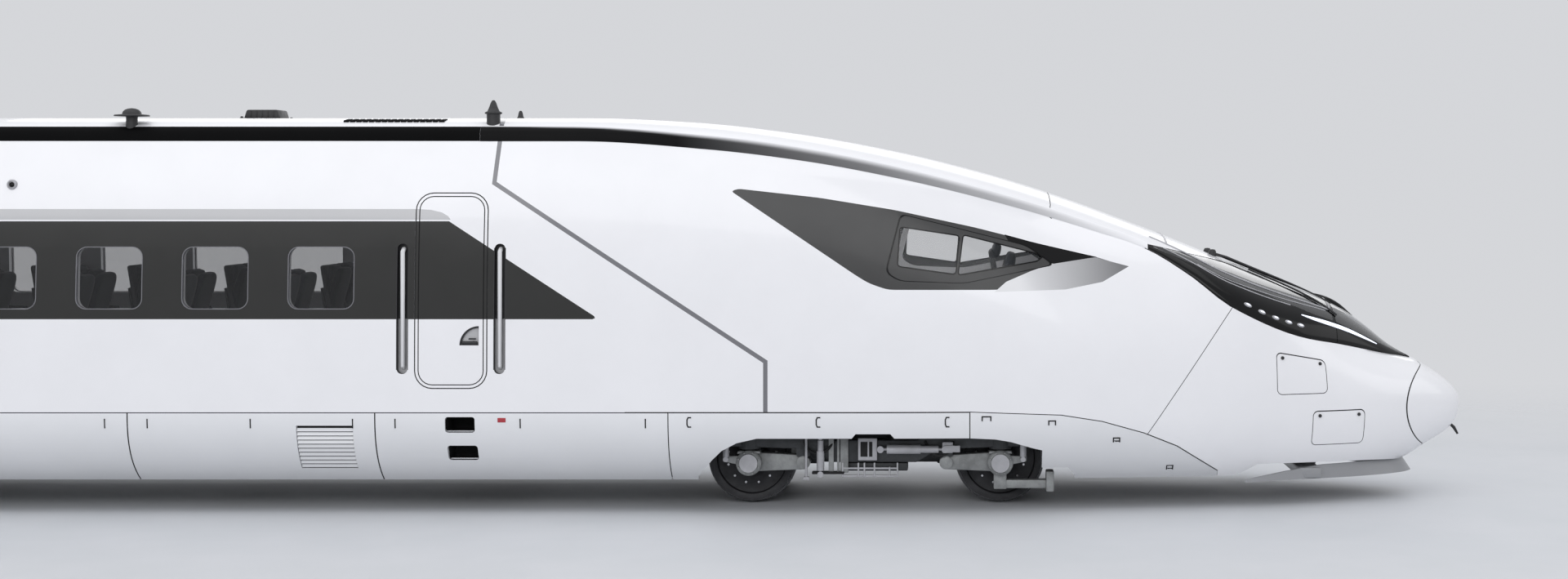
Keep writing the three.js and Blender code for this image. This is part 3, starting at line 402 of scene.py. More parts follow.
def smooth_law(*stations):
    """A smooth curve through [distance behind the nose tip, value], worked in the root of the distance."""
    s = np.sqrt([u for u, _ in stations])
    v = np.array([value for _, value in stations], float)
    h = np.diff(s)
    rise = np.diff(v) / h
    slope = np.zeros(len(s))
    slope[0] = rise[0]
    for i in range(1, len(s) - 1):
        if rise[i - 1] * rise[i] > 0:
            a, b = 2 * h[i] + h[i - 1], h[i] + 2 * h[i - 1]
            slope[i] = (a + b) / (a / rise[i - 1] + b / rise[i])

    def at(u):
        x = min(math.sqrt(max(u, 0.0)), s[-1])
        i = min(max(int(np.searchsorted(s, x, side="right")) - 1, 0), len(h) - 1)
        t = (x - s[i]) / h[i]
        bend = (2 * t**3 - 3 * t**2 + 1, t**3 - 2 * t**2 + t, 3 * t**2 - 2 * t**3, t**3 - t**2)
        return float(v[i] * bend[0] + slope[i] * h[i] * bend[1] + v[i + 1] * bend[2]
                     + slope[i + 1] * h[i] * bend[3])

    return at


top_height = smooth_law(
    (0, TIP_HEIGHT), (140, 1146), (395, 1318), (740, 1515), (1060, 1770), (1300, 1930), (1480, 2015),
    (2300, 2335),
    (3300, 2735), (4850, 3270), (5900, 3532), (6900, 3712), (7950, 3828), (FULL_SECTION, ROOF_TOP),
)
crease_height = smooth_law(
    (0, TIP_HEIGHT - 2), (140, 1144), (RIDGE_END, 1378), (820, 1440), (1400, 1575), (1780, 1652),
    (2540, 1975),
    (2960, 2295), (3400, 2560), (3900, 2725), (4900, 3018), (5850, 3248), (6800, 3423), (7750, 3535),
    (FULL_SECTION, 3612),
)
crease_half_width = smooth_law(
    (0, 6), (RIDGE_END, 6), (820, 260), (1400, 680), (1780, 900), (2540, 1130), (2960, 1080), (3400, 990),
    (3900, 1010), (4900, 1180), (5850, 1300), (6800, 1365), (FULL_SECTION, 1380),
)
keel_height = smooth_law((0, TIP_HEIGHT), (85, 675), (225, 570), (395, 477), (CHIN, 340), (1200, 130),
                         (2500, -13))
lower_edge = smooth_law((0, 0), (CHIN, 348), (1200, 385), (2260, 394), (2490, SKIRT_BOTTOM))
upper_power = smooth_law((0, 2.2), (2500, 2.3), (FULL_SECTION, 3))
roof_power = smooth_law((0, 2), (3400, 2.1), (6000, 2.6), (FULL_SECTION, 3.6))


def half_width(u):
    """Half width of the body at its widest height."""
    return HALF_WIDTH * (1 - max(0.0, 1 - u / TAPER) ** 2.2) ** 0.62


def waist_height(u):
    """Height at which the body is widest."""
    return TIP_HEIGHT + (WAIST - TIP_HEIGHT) * min(1.0, u / 2000)


def superellipse(share, power):
    return (1 - np.clip(share, 0, 1) ** power) ** (1 / power)


def eased(count):
    """Shares from 0 to just under 1, closer together towards both ends."""
    return 0.5 - 0.5 * np.cos(np.linspace(0, math.pi, count + 1)[:-1])


def half_section(u, detail):
    """Half a section at u, as rows of y and z from the lower edge up to the centre of the roof."""
    w, keel, top, waist = half_width(u), keel_height(u), top_height(u), waist_height(u)
    bottom = keel + 1 if u <= CHIN else max(lower_edge(u), keel + 1)
    shoulder = min(crease_height(u), top - 2)
    shoulder_width = min(crease_half_width(u), 0.97 * w)
    n, r = upper_power(u), roof_power(u)
    low_z = bottom + np.linspace(0, 1, 5 * detail + 1)[:-1] * (waist - bottom)
    low_y = np.maximum(6, w * superellipse((waist - low_z) / (waist - keel), LOWER_POWER))
    share = np.linspace(0, 1, 6 * detail + 1)[:-1]
    closing = 1 - (shoulder_width / w) ** n
    side_y = w * (1 - closing * share**n) ** (1 / n)
    side_z = waist + share * (shoulder - waist)
    angle = eased(7 * detail) * math.pi / 2
    roof_y = shoulder_width * np.cos(angle) ** (2 / r)
    roof_z = shoulder + (top - shoulder) * np.sin(angle) ** (2 / r)
    y = np.concatenate([low_y, side_y, roof_y, [0]])
    z = np.concatenate([low_z, side_z, roof_z, [top]])
    return np.stack([y, z], axis=1)


def inset_section(u, wall, detail):
    """Half a section that lies about a wall's thickness inside the outer one."""
    front = max(u - 0.8 * wall, 1)
    middle = waist_height(front)
    across = 1 - wall / half_width(front)
    up = 1 - wall / (top_height(front) - middle)
    open_below = u > CHIN + wall
    down = 1 if open_below else 1 - wall / (middle - keel_height(front))
    points = half_section(front, detail)
    points[:, 0] *= across
    points[:, 1] = middle + (points[:, 1] - middle) * np.where(points[:, 1] > middle, up, down)
    if open_below:
        points[0] += (points[0] - points[1]) * 1.2 * 5 * detail / 3
    return points


def stations(count):
    """Distances behind the tip, closer together towards it, with the places where the surface changes."""
    even = np.linspace(math.sqrt(3), math.sqrt(FULL_SECTION), count) ** 2
    kept = [u for u in even if min(abs(u - RIDGE_END), abs(u - CHIN), abs(u - 2490)) > 12]
    return sorted(kept + [RIDGE_END, CHIN, 2490]) + [NOSE_X - BODY_REAR]


def mesh_object(name, vertices, faces, materials=()):
    """An object made from points and faces, linked to the scene."""
    mesh = bpy.data.meshes.new(name)
    mesh.from_pydata([tuple(v) for v in vertices], [], [tuple(f) for f in faces])
    mesh.validate()
    for material in materials:
        mesh.materials.append(material)
    made = bpy.data.objects.new(name, mesh)
    bpy.context.scene.collection.objects.link(made)
    return made


def ring_faces(rings, size, first=0):
    """Faces between closed rings of size points each, laid one after another."""
    faces = []
    for i in range(rings - 1):
        low = first + i * size
        for j in range(size):
            k = (j + 1) % size
            faces.append((low + j, low + k, low + size + k, low + size + j))
    return faces


def prism_faces(count):
    """The two ends and the sides of an outline of count points that is carried along."""
    faces = [tuple(range(count)), tuple(range(2 * count - 1, count - 1, -1))]
    for i in range(count):
        j = (i + 1) % count
        faces.append((i, i + count, j + count, j))
    return faces


def body_form(wall, count, detail):
    """The body's outer form, or its form inside a wall, as one closed mesh."""
    first = 1.6 * wall
    rings, places = [], [u for u in stations(count) if u > first]
    for u in places:
        half = half_section(u, detail) if wall == 0 else inset_section(u, wall, detail)
        right = [(NOSE_X - u, -y, z) for y, z in half]
        left = [(NOSE_X - u, y, z) for y, z in half[:-1][::-1]]
        rings.append(right + left)
    size = len(rings[0])
    vertices = [mm(*p) for ring in rings for p in ring]
    faces = ring_faces(len(rings), size)
    tip = len(vertices)
    vertices.append(mm(NOSE_X - (places[0] - 20 if wall else 0), 0, TIP_HEIGHT))
    rear = len(vertices)
    vertices.append(mm(BODY_REAR, 0, (WAIST + ROOF_TOP) / 2))
    last = (len(rings) - 1) * size
    for j in range(size):
        following = (j + 1) % size
        faces.append((tip, following, j))
        faces.append((rear, last + j, last + following))
    return mesh_object(f"form_{wall:.0f}", vertices, faces)


# ------------------------------------------------------------------ cutting
def copied(source, name):
    """A copy of an object with its own mesh."""
    made = source.copy()
    made.data = source.data.copy()
    made.name = name
    bpy.context.scene.collection.objects.link(made)
    return made


def remove(*objects):
    """Deletes objects and their meshes."""
    for item in objects:
        mesh = item.data
        bpy.data.objects.remove(item)
        bpy.data.meshes.remove(mesh)


def combine(target, other, operation, keep=False):
    """Cuts, joins or intersects target with other, and removes other."""
    modifier = target.modifiers.new("combine", "BOOLEAN")
    modifier.solver = "MANIFOLD"
    modifier.operation = operation
    modifier.object = other
    graph = bpy.context.evaluated_depsgraph_get()
    mesh = bpy.data.meshes.new_from_object(target.evaluated_get(graph))
    old = target.data
    target.modifiers.clear()
    target.data = mesh
    bpy.data.meshes.remove(old)
    if not keep:
        remove(other)
    return target


def turning(points):
    """Twice an outline's area: positive where it runs anticlockwise."""
    return sum(points[i - 1][0] * q[1] - q[0] * points[i - 1][1] for i, q in enumerate(points))


def prism(points, y0=-FAR, y1=FAR, name="prism"):
    """A closed outline in x and z, carried across the car."""
    if turning(points) < 0:
        points = points[::-1]
    vertices = [mm(x, y, z) for y in (y0, y1) for x, z in points]
    made = mesh_object(name, vertices, prism_faces(len(points)))
    bm = bmesh.new()
    bm.from_mesh(made.data)
    bmesh.ops.triangulate(bm, faces=bm.faces)
    bmesh.ops.recalc_face_normals(bm, faces=bm.faces)
    bm.to_mesh(made.data)
    bm.free()
    return made


def side_prism(points, side):
    """A prism that covers only one side of the car."""
    return prism(points, -FAR, -1) if side < 0 else prism(points, 1, FAR)


def rectangle(x0, z0, x1, z1):
    return [(x0, z0), (x1, z0), (x1, z1), (x0, z1)]


def rounded(x0, z0, x1, z1, radius, steps=6):
    """A rectangle's outline with rounded corners."""
    corners = [(x1 - radius, z0 + radius, -90), (x1 - radius, z1 - radius, 0), (x0 + radius, z1 - radius, 90),
               (x0 + radius, z0 + radius, 180)]
    points = []
    for cx, cz, start in corners:
        for i in range(steps + 1):
            angle = math.radians(start + 90 * i / steps)
            points.append((cx + radius * math.cos(angle), cz + radius * math.sin(angle)))
    return points


def paint(target, slot, polygon, side):
    """Cuts a stripe's outline into the outer surface and gives the faces inside it a material slot."""
    points = [(x / 1000, (z + FLANGE_HEIGHT) / 1000) for x, z in polygon]
    low = [min(p[k] for p in points) for k in (0, 1)]
    high = [max(p[k] for p in points) for k in (0, 1)]
    bm = bmesh.new()
    bm.from_mesh(target.data)

    def outward(face):
        return side == 0 or (face.normal.y * side > 0.05 and face.calc_center_median().y * side > 0)

    def near(face, lo, hi):
        xs = [v.co.x for v in face.verts]
        zs = [v.co.z for v in face.verts]
        return min(xs) < hi[0] and max(xs) > lo[0] and min(zs) < hi[1] and max(zs) > lo[1]

    for i, (px, pz) in enumerate(points):
        qx, qz = points[(i + 1) % len(points)]
        length = math.hypot(qx - px, qz - pz)
        if length < 1e-5:
            continue
        lo = (min(px, qx) - 0.004, min(pz, qz) - 0.004)
        hi = (max(px, qx) + 0.004, max(pz, qz) + 0.004)
        faces = [f for f in bm.faces if near(f, lo, hi) and outward(f)]
        if not faces:
            continue
        geometry = set(faces)
        for f in faces:
            geometry.update(f.edges)
            geometry.update(f.verts)
        normal = Vector((-(qz - pz), 0, qx - px)) / length
        bmesh.ops.bisect_plane(bm, geom=list(geometry), plane_co=Vector((px, 0, pz)), plane_no=normal,
                               dist=1e-5)
    bm.normal_update()
    for f in bm.faces:
        c = f.calc_center_median()
        if low[0] < c.x < high[0] and low[1] < c.z < high[1] and outward(f) and inside(points, c.x, c.z):
            f.material_index = slot
    bm.to_mesh(target.data)
    bm.free()


def inside(points, x, z):
    """Whether a point lies inside an outline."""
    hit = False
    for i, (x0, z0) in enumerate(points):
        x1, z1 = points[i - 1]
        if (z0 > z) != (z1 > z) and x < (x1 - x0) * (z - z0) / (z1 - z0) + x0:
            hit = not hit
    return hit


def strip(points, width):
    """The outline of a line of constant width through points."""
    left, right = [], []
    for i, p in enumerate(points):
        before = Vector(points[max(i - 1, 0)])
        after = Vector(points[min(i + 1, len(points) - 1)])
        here = Vector(p)
        a = (here - before).normalized() if i else (after - here).normalized()
        b = (after - here).normalized() if i < len(points) - 1 else a
        across = Vector((-(a + b).y, (a + b).x)).normalized()
        half = width / 2 / max(0.3, math.cos(a.angle(b) / 2))
        left.append(tuple(here + across * half))
        right.append(tuple(here - across * half))
    return left + right[::-1]


def smooth(target, angle=28):
    """Shades an object smooth, apart from its sharp edges."""
    for polygon in target.data.polygons:
        polygon.use_smooth = True
    target.data.set_sharp_from_angle(angle=math.radians(angle))


def dress(target, body, *replaced, slot=None, angle=28):
    """Shades a finished piece, lets it ride and says which CAD nodes it stands for."""
    smooth(target, angle)
    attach(target, body)
    if replaced:
        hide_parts(*replaced)
    return target


# ------------------------------------------------------------------ shells and cutters
FORM_STATIONS, FORM_DETAIL = 62, 3
FORMS = {}


def form(wall):
    """The body's form inside a wall, made once."""
    if wall not in FORMS:
        FORMS[wall] = body_form(wall, FORM_STATIONS, FORM_DETAIL)
    return FORMS[wall]


def layer(name, top, bottom):
    """The body's material between two depths under its outer surface."""
    return combine(copied(form(top), name), form(bottom), "DIFFERENCE", keep=True)


def sunk(cutter, depth):
    """A cutter that goes only so deep into the outer surface."""
    return combine(cutter, form(depth), "DIFFERENCE", keep=True)


def panel(name, depths, kept=(), cut=()):
    """A piece of the body between two depths, inside every outline of kept and outside every one of cut."""
    made = layer(name, *depths)
    for cutter in kept:
        combine(made, cutter, "INTERSECT")
    for cutter in cut:
        combine(made, cutter, "DIFFERENCE")
    return made


def coat(target, *materials):
    """Gives an object its materials."""
    target.data.materials.clear()
    for material in materials:
        target.data.materials.append(material)
    return target


JOINT_X, ROOF_SEAM = 4700.0, 3560.0
NOSE_SEAM = ((10680, 1985), (9780, 700))
COWL_LINE = ((8058, 976), (8950, 939), (9355, 872), (9770, 751), (10105, 611), (10535, 335), (10535, -500))
MASK_EDGE, MASK_MIDDLE = (9812, 2600), (10728, 2388)
SCREEN_FOOT, MASK_END = 1400, 3400
COVER_CENTRE, COVER_RADIUS, COVER_REACH = (13000, 913), 470, 60
SKIRT_JOINTS = (BODY_REAR, -8370, 5121, 8058)
BOGIE_X = {"front": 7113.0, "rear": -10287.0}
WINDOW_PITCH, WINDOW_COUNT = 1032, 13
WINDOWS = [1415 - WINDOW_PITCH * i for i in range(WINDOW_COUNT)]
WINDOW_WIDTH, WINDOW_LOW, WINDOW_HIGH, WINDOW_CORNER = 651, 1976, 2588, 105
DOOR_REAR, DOOR_FRONT, DOOR_LOW, DOOR_HIGH, DOOR_CORNER = 2662, 3353, 1214, 3104, 165
OUT = 3 * FAR


def above_cowl_line(gap):
    """Cutter for what lies above the line between the body and the skirts and cowls."""
    seam = [(x + gap * 0.7, z + gap) for x, z in COWL_LINE]
    return prism([(-OUT, WAIST + gap)] + seam + [(OUT, -500), (OUT, FAR), (-OUT, FAR)])


def below_cowl_line(gap, side):
    """Cutter for the lower cowl on one side."""
    start = SKIRT_JOINTS[3] + gap
    seam = [(x - gap * 0.7, z - gap) for x, z in COWL_LINE[1:]]
    return side_prism([(start, -500), (start, WAIST - gap)] + seam, side)


def behind_nose_seam(gap):
    """Cutter for what lies behind the slanting seam between the cab and the nose."""
    (top_x, top_z), (low_x, low_z) = NOSE_SEAM
    slope = (top_x - low_x) / (top_z - low_z)
    foot = low_x - gap - slope * (low_z + 500)
    return prism([(-OUT, -500), (foot, -500), (top_x - gap, top_z), (top_x - gap, FAR), (-OUT, FAR)])


def mask_prism(start, end, gap):
    """Cutter for what lies above the crease between two distances behind the tip."""
    steps = 24
    crease = []
    for i in range(steps + 1):
        u = start + (end - start) * i / steps
        crease.append((NOSE_X - u, crease_height(u) + gap))
    return prism(crease + [(NOSE_X - end, FAR), (NOSE_X - start, FAR)])


def ahead_of_roof_edge(gap):
    """Cutter for what lies ahead of the windscreen's upper edge."""
    (edge_x, edge_z), (middle_x, middle_z) = MASK_EDGE, MASK_MIDDLE
    slope = (middle_z - edge_z) / (middle_x - edge_x)
    last = middle_x + 400
    return prism([(edge_x + gap, -500), (OUT, -500), (OUT, FAR), (last, FAR),
                  (last, edge_z + slope * (last - edge_x) - gap), (edge_x + gap, edge_z - gap)])


def cover_arc(gap):
    """The arc between the cowl and the nose covers, moved forward by a gap."""
    cx, cz = COVER_CENTRE
    angles = np.radians(np.linspace(180 - COVER_REACH, 180 + COVER_REACH, 33))
    return [(cx + COVER_RADIUS * math.cos(a) + gap, cz + COVER_RADIUS * math.sin(a)) for a in angles]


def ahead_of_cover_seam(gap):
    """Cutter for the nose covers."""
    seam = cover_arc(gap)
    return prism([(OUT, -500), (OUT, FAR), (seam[0][0], FAR)] + seam + [(seam[-1][0], -500)])


def slab(x0, y0, z0, x1, y1, z1):
    """A plain box as a cutter."""
    return prism(rectangle(x0, z0, x1, z1), y0, y1)


def joined(name, objects):
    """Several separate closed meshes as one object."""
    bm = bmesh.new()
    materials = []
    for item in objects:
        start = len(bm.faces)
        offset = len(materials)
        bm.from_mesh(item.data)
        bm.faces.ensure_lookup_table()
        own = list(item.data.materials)
        for face in bm.faces[start:]:
            face.material_index += offset if own else 0
        materials += own
        remove(item)
    mesh = bpy.data.meshes.new(name)
    bm.to_mesh(mesh)
    bm.free()
    shared = []
    for material in materials:
        if material not in shared:
            shared.append(material)
    for polygon in mesh.polygons:
        if materials:
            polygon.material_index = shared.index(materials[polygon.material_index])
    for material in shared:
        mesh.materials.append(material)
    made = bpy.data.objects.new(name, mesh)
    bpy.context.scene.collection.objects.link(made)
    return made


def joined_coat(name, parts, material):
    """Parts joined into one object with one material."""
    return coat(joined(name, parts), material)


def window_prisms(side, grow):
    """Cutters for all saloon windows on one side, made larger by grow."""
    cuts = []
    for x in WINDOWS:
        shape = rounded(x - grow, WINDOW_LOW - grow, x + WINDOW_WIDTH + grow, WINDOW_HIGH + grow,
                        WINDOW_CORNER + grow)
        cuts.append(side_prism(shape, side))
    return joined("windows", cuts)


def door_prism(side, grow):
    """Cutter for the entrance door on one side, made larger by grow."""
    low, high = DOOR_LOW - grow, DOOR_HIGH + grow
    return side_prism(rounded(DOOR_REAR - grow, low, DOOR_FRONT + grow, high, DOOR_CORNER + grow), side)


# ------------------------------------------------------------------ livery outlines and the painted crease shade
BAND_LOW, BAND_HIGH, STRIPE_LOW, STRIPE_HIGH, PAINT_END = 1881, 2834, 2848, 2953, -13000
BAND = [(PAINT_END, BAND_LOW), (4385, BAND_LOW), (4410, 1892), (4402, 1912), (2978, BAND_HIGH),
        (PAINT_END, BAND_HIGH)]
PALE_STRIPE = [(PAINT_END, STRIPE_LOW), (2994, STRIPE_LOW), (2968, 2884), (2905, 2920), (2800, 2945),
               (2661, STRIPE_HIGH), (PAINT_END, STRIPE_HIGH)]
GREY_LINE = strip([(3350, 3910), (3440, 3800), (3458, 3740), (3436, 3480), (3410, 3207), (6068, 1468),
                   (6068, 960)], 43)
ROOF_BLACK = rectangle(PAINT_END, 3618, 3251, 3762)


def livery(target, side):
    """Paints the window band, the pale stripe over it and the grey line on a piece."""
    paint(target, 1, BAND, side)
    paint(target, 2, PALE_STRIPE, side)
    paint(target, 3, GREY_LINE, side)


def strip_height(x):
    """How far the painted shade strip over the shoulder crease reaches up."""
    return float(np.interp(x, (3250, 6000, 8800, 9900), (152, 140, 96, 60)))


def painted_shade_strips():
    """The painted shade over the shoulder crease, where the black roof band tapers out: a thin skin whose
    shade fades upwards and forwards.
    """
    start, end, columns, rows = 3252, 9840, 110, 14
    for label, side in SIDES:
        skin = form(0)
        outer, shades = [], []
        for x in np.linspace(start, end, columns):
            u = NOSE_X - x
            # depth is how dark the painted shade is here; solid is the share of its height that stays fully
            # dark
            depth = float(np.interp(x, (start, 5200, 7000, 8600, end), (1.0, 1.0, 0.8, 0.45, 0.0)))
            solid = float(np.interp(x, (start, 4400, 6500, end), (0.97, 0.85, 0.55, 0.4)))
            for share in np.linspace(0, 1, rows):
                z = crease_height(u) + 4 + share * strip_height(x)
                _, place, facing, _ = skin.closest_point_on_mesh(mm(x, side * roof_half_width(u, z), z))
                outer.append((place, facing))
                shades.append(depth * (1 - min(1.0, max(0.0, (share - solid) / (1 - solid))) ** 1.3))
        vertices = [place + facing * lift for lift in (0.0015, -0.0015) for place, facing in outer]
        size = columns * rows
        faces = []
        for i in range(columns - 1):
            for j in range(rows - 1):
                a, b, c, d = i * rows + j, (i + 1) * rows + j, (i + 1) * rows + j + 1, i * rows + j + 1
                faces += [(a, b, c, d), (size + d, size + c, size + b, size + a)]
        rim = [i * rows for i in range(columns)]
        rim += [(columns - 1) * rows + j for j in range(1, rows)]
        rim += [i * rows + rows - 1 for i in range(columns - 2, -1, -1)]
        rim += list(range(rows - 2, 0, -1))
        for a, b in zip(rim, rim[1:] + rim[:1]):
            faces.append((b, a, size + a, size + b))
        made = bevelled(mesh_object(f"painted_shade_skin_{label}", vertices, faces), 0)
        attribute = made.data.attributes.new("crease_painted_shade", "FLOAT", "POINT")
        attribute.data.foreach_set("value", shades + shades)
        dress(coat(made, M["painted_shade_white"]), "car_body", slot="dark_band", angle=60)


def roof_half_width(u, z):
    """Half width of the roof's surface at a height above the crease."""
    width, r = crease_half_width(u), roof_power(u)
    share = min(1.0, max(0.0, (z - crease_height(u)) / (top_height(u) - crease_height(u))))
    return width * (1 - share ** r) ** (1 / r)


# ------------------------------------------------------------------ saloon body
GRAB_LOW, GRAB_HIGH, GRAB_LENGTH, GRAB_DEPTH = 1349, 2615, 104, 62
GRAB_PLACES = (DOOR_REAR - 180, DOOR_FRONT + 75)
LEVER_X, LEVER_Z = 3280, 1627


def saloon_side(label, side):
    """One side wall with its door, windows, recesses and rails."""
    grabs = joined("grabs", [side_prism(rounded(x, GRAB_LOW, x + GRAB_LENGTH, GRAB_HIGH, 48), side)
                             for x in GRAB_PLACES])
    wall = panel(
        f"side_wall_shell_{label}", (0, WALL),
        [side_prism(rectangle(BODY_REAR, WAIST, JOINT_X, ROOF_SEAM), side)],
        [window_prisms(side, 0), door_prism(side, 11), sunk(grabs, GRAB_DEPTH)],
    )
    coat(wall, M["white"], M["band"], M["pale"], M["line"], M["dark_plastic"])
    livery(wall, side)
    for x in GRAB_PLACES:
        paint(wall, 4, strip([(x + 2, GRAB_LOW + 40), (x + 2, GRAB_HIGH - 40)], 16), side)
        paint(wall, 4, strip([(x + GRAB_LENGTH - 2, GRAB_LOW + 40), (x + GRAB_LENGTH - 2, GRAB_HIGH - 40)],
                             16), side)
    line_recesses(wall, 4)
    dress(wall, "car_body", f"side_wall_{label}", f"window_band_{label}", slot="body_white")

    leaf = panel(f"entrance_door_leaf_{label}", (0, WALL), [door_prism(side, 0)])
    handle = side_prism(quarter_disc(LEVER_X, LEVER_Z, 188), side)
    combine(leaf, sunk(handle, 26), "DIFFERENCE")
    groove = combine(door_prism(side, -24), door_prism(side, -34), "DIFFERENCE")
    combine(leaf, sunk(groove, 8), "DIFFERENCE")
    coat(leaf, M["white"], M["band"], M["pale"], M["line"], M["groove"])
    livery(leaf, side)
    # painted shade: the leaf's edges in the door gap and its inner groove get the dark slot
    darken(leaf, 4, rectangle(DOOR_REAR - 9, DOOR_LOW - 9, DOOR_FRONT + 9, DOOR_HIGH + 9), 2)
    darken(leaf, 2, quarter_disc(LEVER_X, LEVER_Z, 190), 20)
    # a dark rubber seal ring in the door gap, which also paints the gap's shadow
    ring = combine(door_prism(side, 16), door_prism(side, -4), "DIFFERENCE")
    seal_and_gap_shadow = combine(layer(f"door_seal_and_gap_shadow_{label}", 3, 14), ring, "INTERSECT")
    dress(coat(seal_and_gap_shadow, M["groove"]), "car_body", slot="rubber")
    dress(leaf, "car_body", f"entrance_door_{label}", slot="body_white")

    lever_y = side * (surface_half_width(FULL_SECTION, 1700) - 10)
    arc = [(LEVER_X + 178 * math.cos(a), lever_y, LEVER_Z + 178 * math.sin(a))
           for a in np.linspace(math.pi / 2, math.pi, 14)]
    arc += [(LEVER_X - 12, lever_y, LEVER_Z + 10)]
    lever = [tube([(3120, lever_y, 1652), (3262, lever_y, 1652)], 15, 12),
             tube([(3225, lever_y, 1652), (3225, lever_y - side * 22, 1652)], 17, 14),
             tube([(3180, lever_y, 1690), (3250, lever_y, 1690)], 7, 10), tube(arc, 9, 10)]
    finish_group(f"door_lever_{label}", lever, M["dark_plastic"], slot="frame_grey")

    rims = combine(window_prisms(side, -1), window_prisms(side, -9), "DIFFERENCE")
    rims = combine(rims, form(0), "INTERSECT", keep=True)
    combine(rims, form(30), "DIFFERENCE", keep=True)
    rims.name = f"window_rims_{label}"
    dress(coat(rims, M["line"]), "car_body", slot="body_white")

    panes = layer(f"window_panes_{label}", 5, 22)
    combine(panes, window_prisms(side, -10), "INTERSECT")
    dress(coat(panes, M["pane"]), "car_body", slot="glass")

    rails = []
    for x in GRAB_PLACES:
        middle = x + GRAB_LENGTH / 2
        y = side * (surface_half_width(FULL_SECTION, 2000) - 30)
        ends = [(middle, y - side * 38, GRAB_LOW + 50), (middle, y + side * 12, GRAB_LOW + 80),
                (middle, y + side * 12, GRAB_HIGH - 80), (middle, y - side * 38, GRAB_HIGH - 50)]
        rails.append(tube(ends, 22))
    dress(coat(joined(f"entrance_grab_rails_{label}", rails), M["rail"]), "car_body", slot="frame_grey",
          angle=50)


def line_recesses(target, slot):
    """The faces that a recess cut into a panel: they face along the car or stand behind the surface."""
    for polygon in target.data.polygons:
        x, y, z = car_mm(polygon.center)
        for start in GRAB_PLACES:
            within = start - 2 < x < start + GRAB_LENGTH + 2 and GRAB_LOW - 2 < z < GRAB_HIGH + 2
            depth = surface_half_width(FULL_SECTION, z) - abs(y)
            if within and 2 < depth < GRAB_DEPTH + 8:
                wall = abs(polygon.normal.x) > 0.5 or depth < GRAB_DEPTH - 12
                polygon.material_index = slot if z > BAND_LOW or wall else 2


def darken(target, slot, outline, depth=1.5):
    """Gives the walls and the floor of a groove, which lie under the outer surface, a material slot; a dark
    slot there is painted shade.
    """
    for polygon in target.data.polygons:
        x, y, z = car_mm(polygon.center)
        if not inside(outline, x, z):
            continue
        u = NOSE_X - x
        if z < crease_height(u):
            under = surface_half_width(u, z) - abs(y)
        else:
            under = screen_surface(u, min(abs(y), 0.999 * crease_half_width(u)))[2] - z
        if under > depth:
            polygon.material_index = slot


def quarter_disc(x, z, radius):
    """The outline of a quarter of a disc, above and behind its centre."""
    arc = [(x + radius * math.cos(a), z + radius * math.sin(a))
           for a in np.linspace(math.pi / 2, math.pi, 13)]
    return [(x, z)] + arc


def surface_half_width(u, z):
    """Half width of the outer surface at u and height z, between the lower edge and the crease."""
    w, waist = half_width(u), waist_height(u)
    if z < waist:
        return w * (1 - ((waist - z) / (waist - keel_height(u))) ** LOWER_POWER) ** (1 / LOWER_POWER)
    n = upper_power(u)
    closing = 1 - (min(crease_half_width(u), 0.97 * w) / w) ** n
    share = (z - waist) / (crease_height(u) - waist)
    return w * (1 - closing * min(1, share) ** n) ** (1 / n)


def surface_point(x, z, side, out=0.0):
    """A point on the side of the body, or a little outside it, in the car's millimetres."""
    return (x, side * (surface_half_width(NOSE_X - x, z) + out), z)


# ------------------------------------------------------------------ small solids
def tube(points, radius, sides=12):
    """A round bar that bends through points."""
    path = [Vector(p) for p in points]
    vertices = []
    reference = None
    for i, p in enumerate(path):
        before = (p - path[i - 1]).normalized() if i else (path[1] - p).normalized()
        after = (path[i + 1] - p).normalized() if i < len(path) - 1 else before
        along = (before + after).normalized()
        if reference is None:
            helper = Vector((0, 0, 1)) if abs(along.z) < 0.9 else Vector((1, 0, 0))
            reference = along.cross(helper).normalized()
        reference = (reference - along * reference.dot(along)).normalized()
        other = along.cross(reference)
        stretch = 1 / max(0.4, math.cos(before.angle(after) / 2)) if 0 < i < len(path) - 1 else 1
        for j in range(sides):
            angle = 2 * math.pi * j / sides
            r = radius[i] if isinstance(radius, (list, tuple)) else radius
            vertices.append(mm(*(p + (reference * math.cos(angle) + other * math.sin(angle) * stretch) * r)))
    last = (len(path) - 1) * sides
    faces = ring_faces(len(path), sides)
    faces += [tuple(range(sides))[::-1], tuple(last + j for j in range(sides))]
    return mesh_object("tube", vertices, faces)


AXES = {"x": (1, 2, 0), "y": (2, 0, 1), "z": (0, 1, 2)}


def lathe(profile, centre, axis="y", sides=48):
    """A closed turned form: profile rows are radius and place along the axis, from one end to the other."""
    first, second, third = AXES[axis]
    vertices, faces, rings = [], [], []
    for r, along in profile:
        if r < 0.01:
            point = [0.0, 0.0, 0.0]
            point[third] = along
            rings.append([len(vertices)])
            vertices.append(mm(*(Vector(centre) + Vector(point))))
            continue
        ring = []
        for j in range(sides):
            angle = 2 * math.pi * (j + 0.5) / sides
            point = [0.0, 0.0, 0.0]
            point[first], point[second], point[third] = r * math.cos(angle), r * math.sin(angle), along
            ring.append(len(vertices))
            vertices.append(mm(*(Vector(centre) + Vector(point))))
        rings.append(ring)
    for low, high in zip(rings, rings[1:]):
        for j in range(sides):
            k = (j + 1) % sides
            if len(low) == 1 and len(high) == 1:
                continue
            if len(low) == 1:
                faces.append((low[0], high[k], high[j]))
            elif len(high) == 1:
                faces.append((low[j], low[k], high[0]))
            else:
                faces.append((low[j], low[k], high[k], high[j]))
    if len(rings[0]) > 1:
        faces.append(tuple(rings[0])[::-1])
    if len(rings[-1]) > 1:
        faces.append(tuple(rings[-1]))
    return bevelled(mesh_object("lathe", vertices, faces), 0)


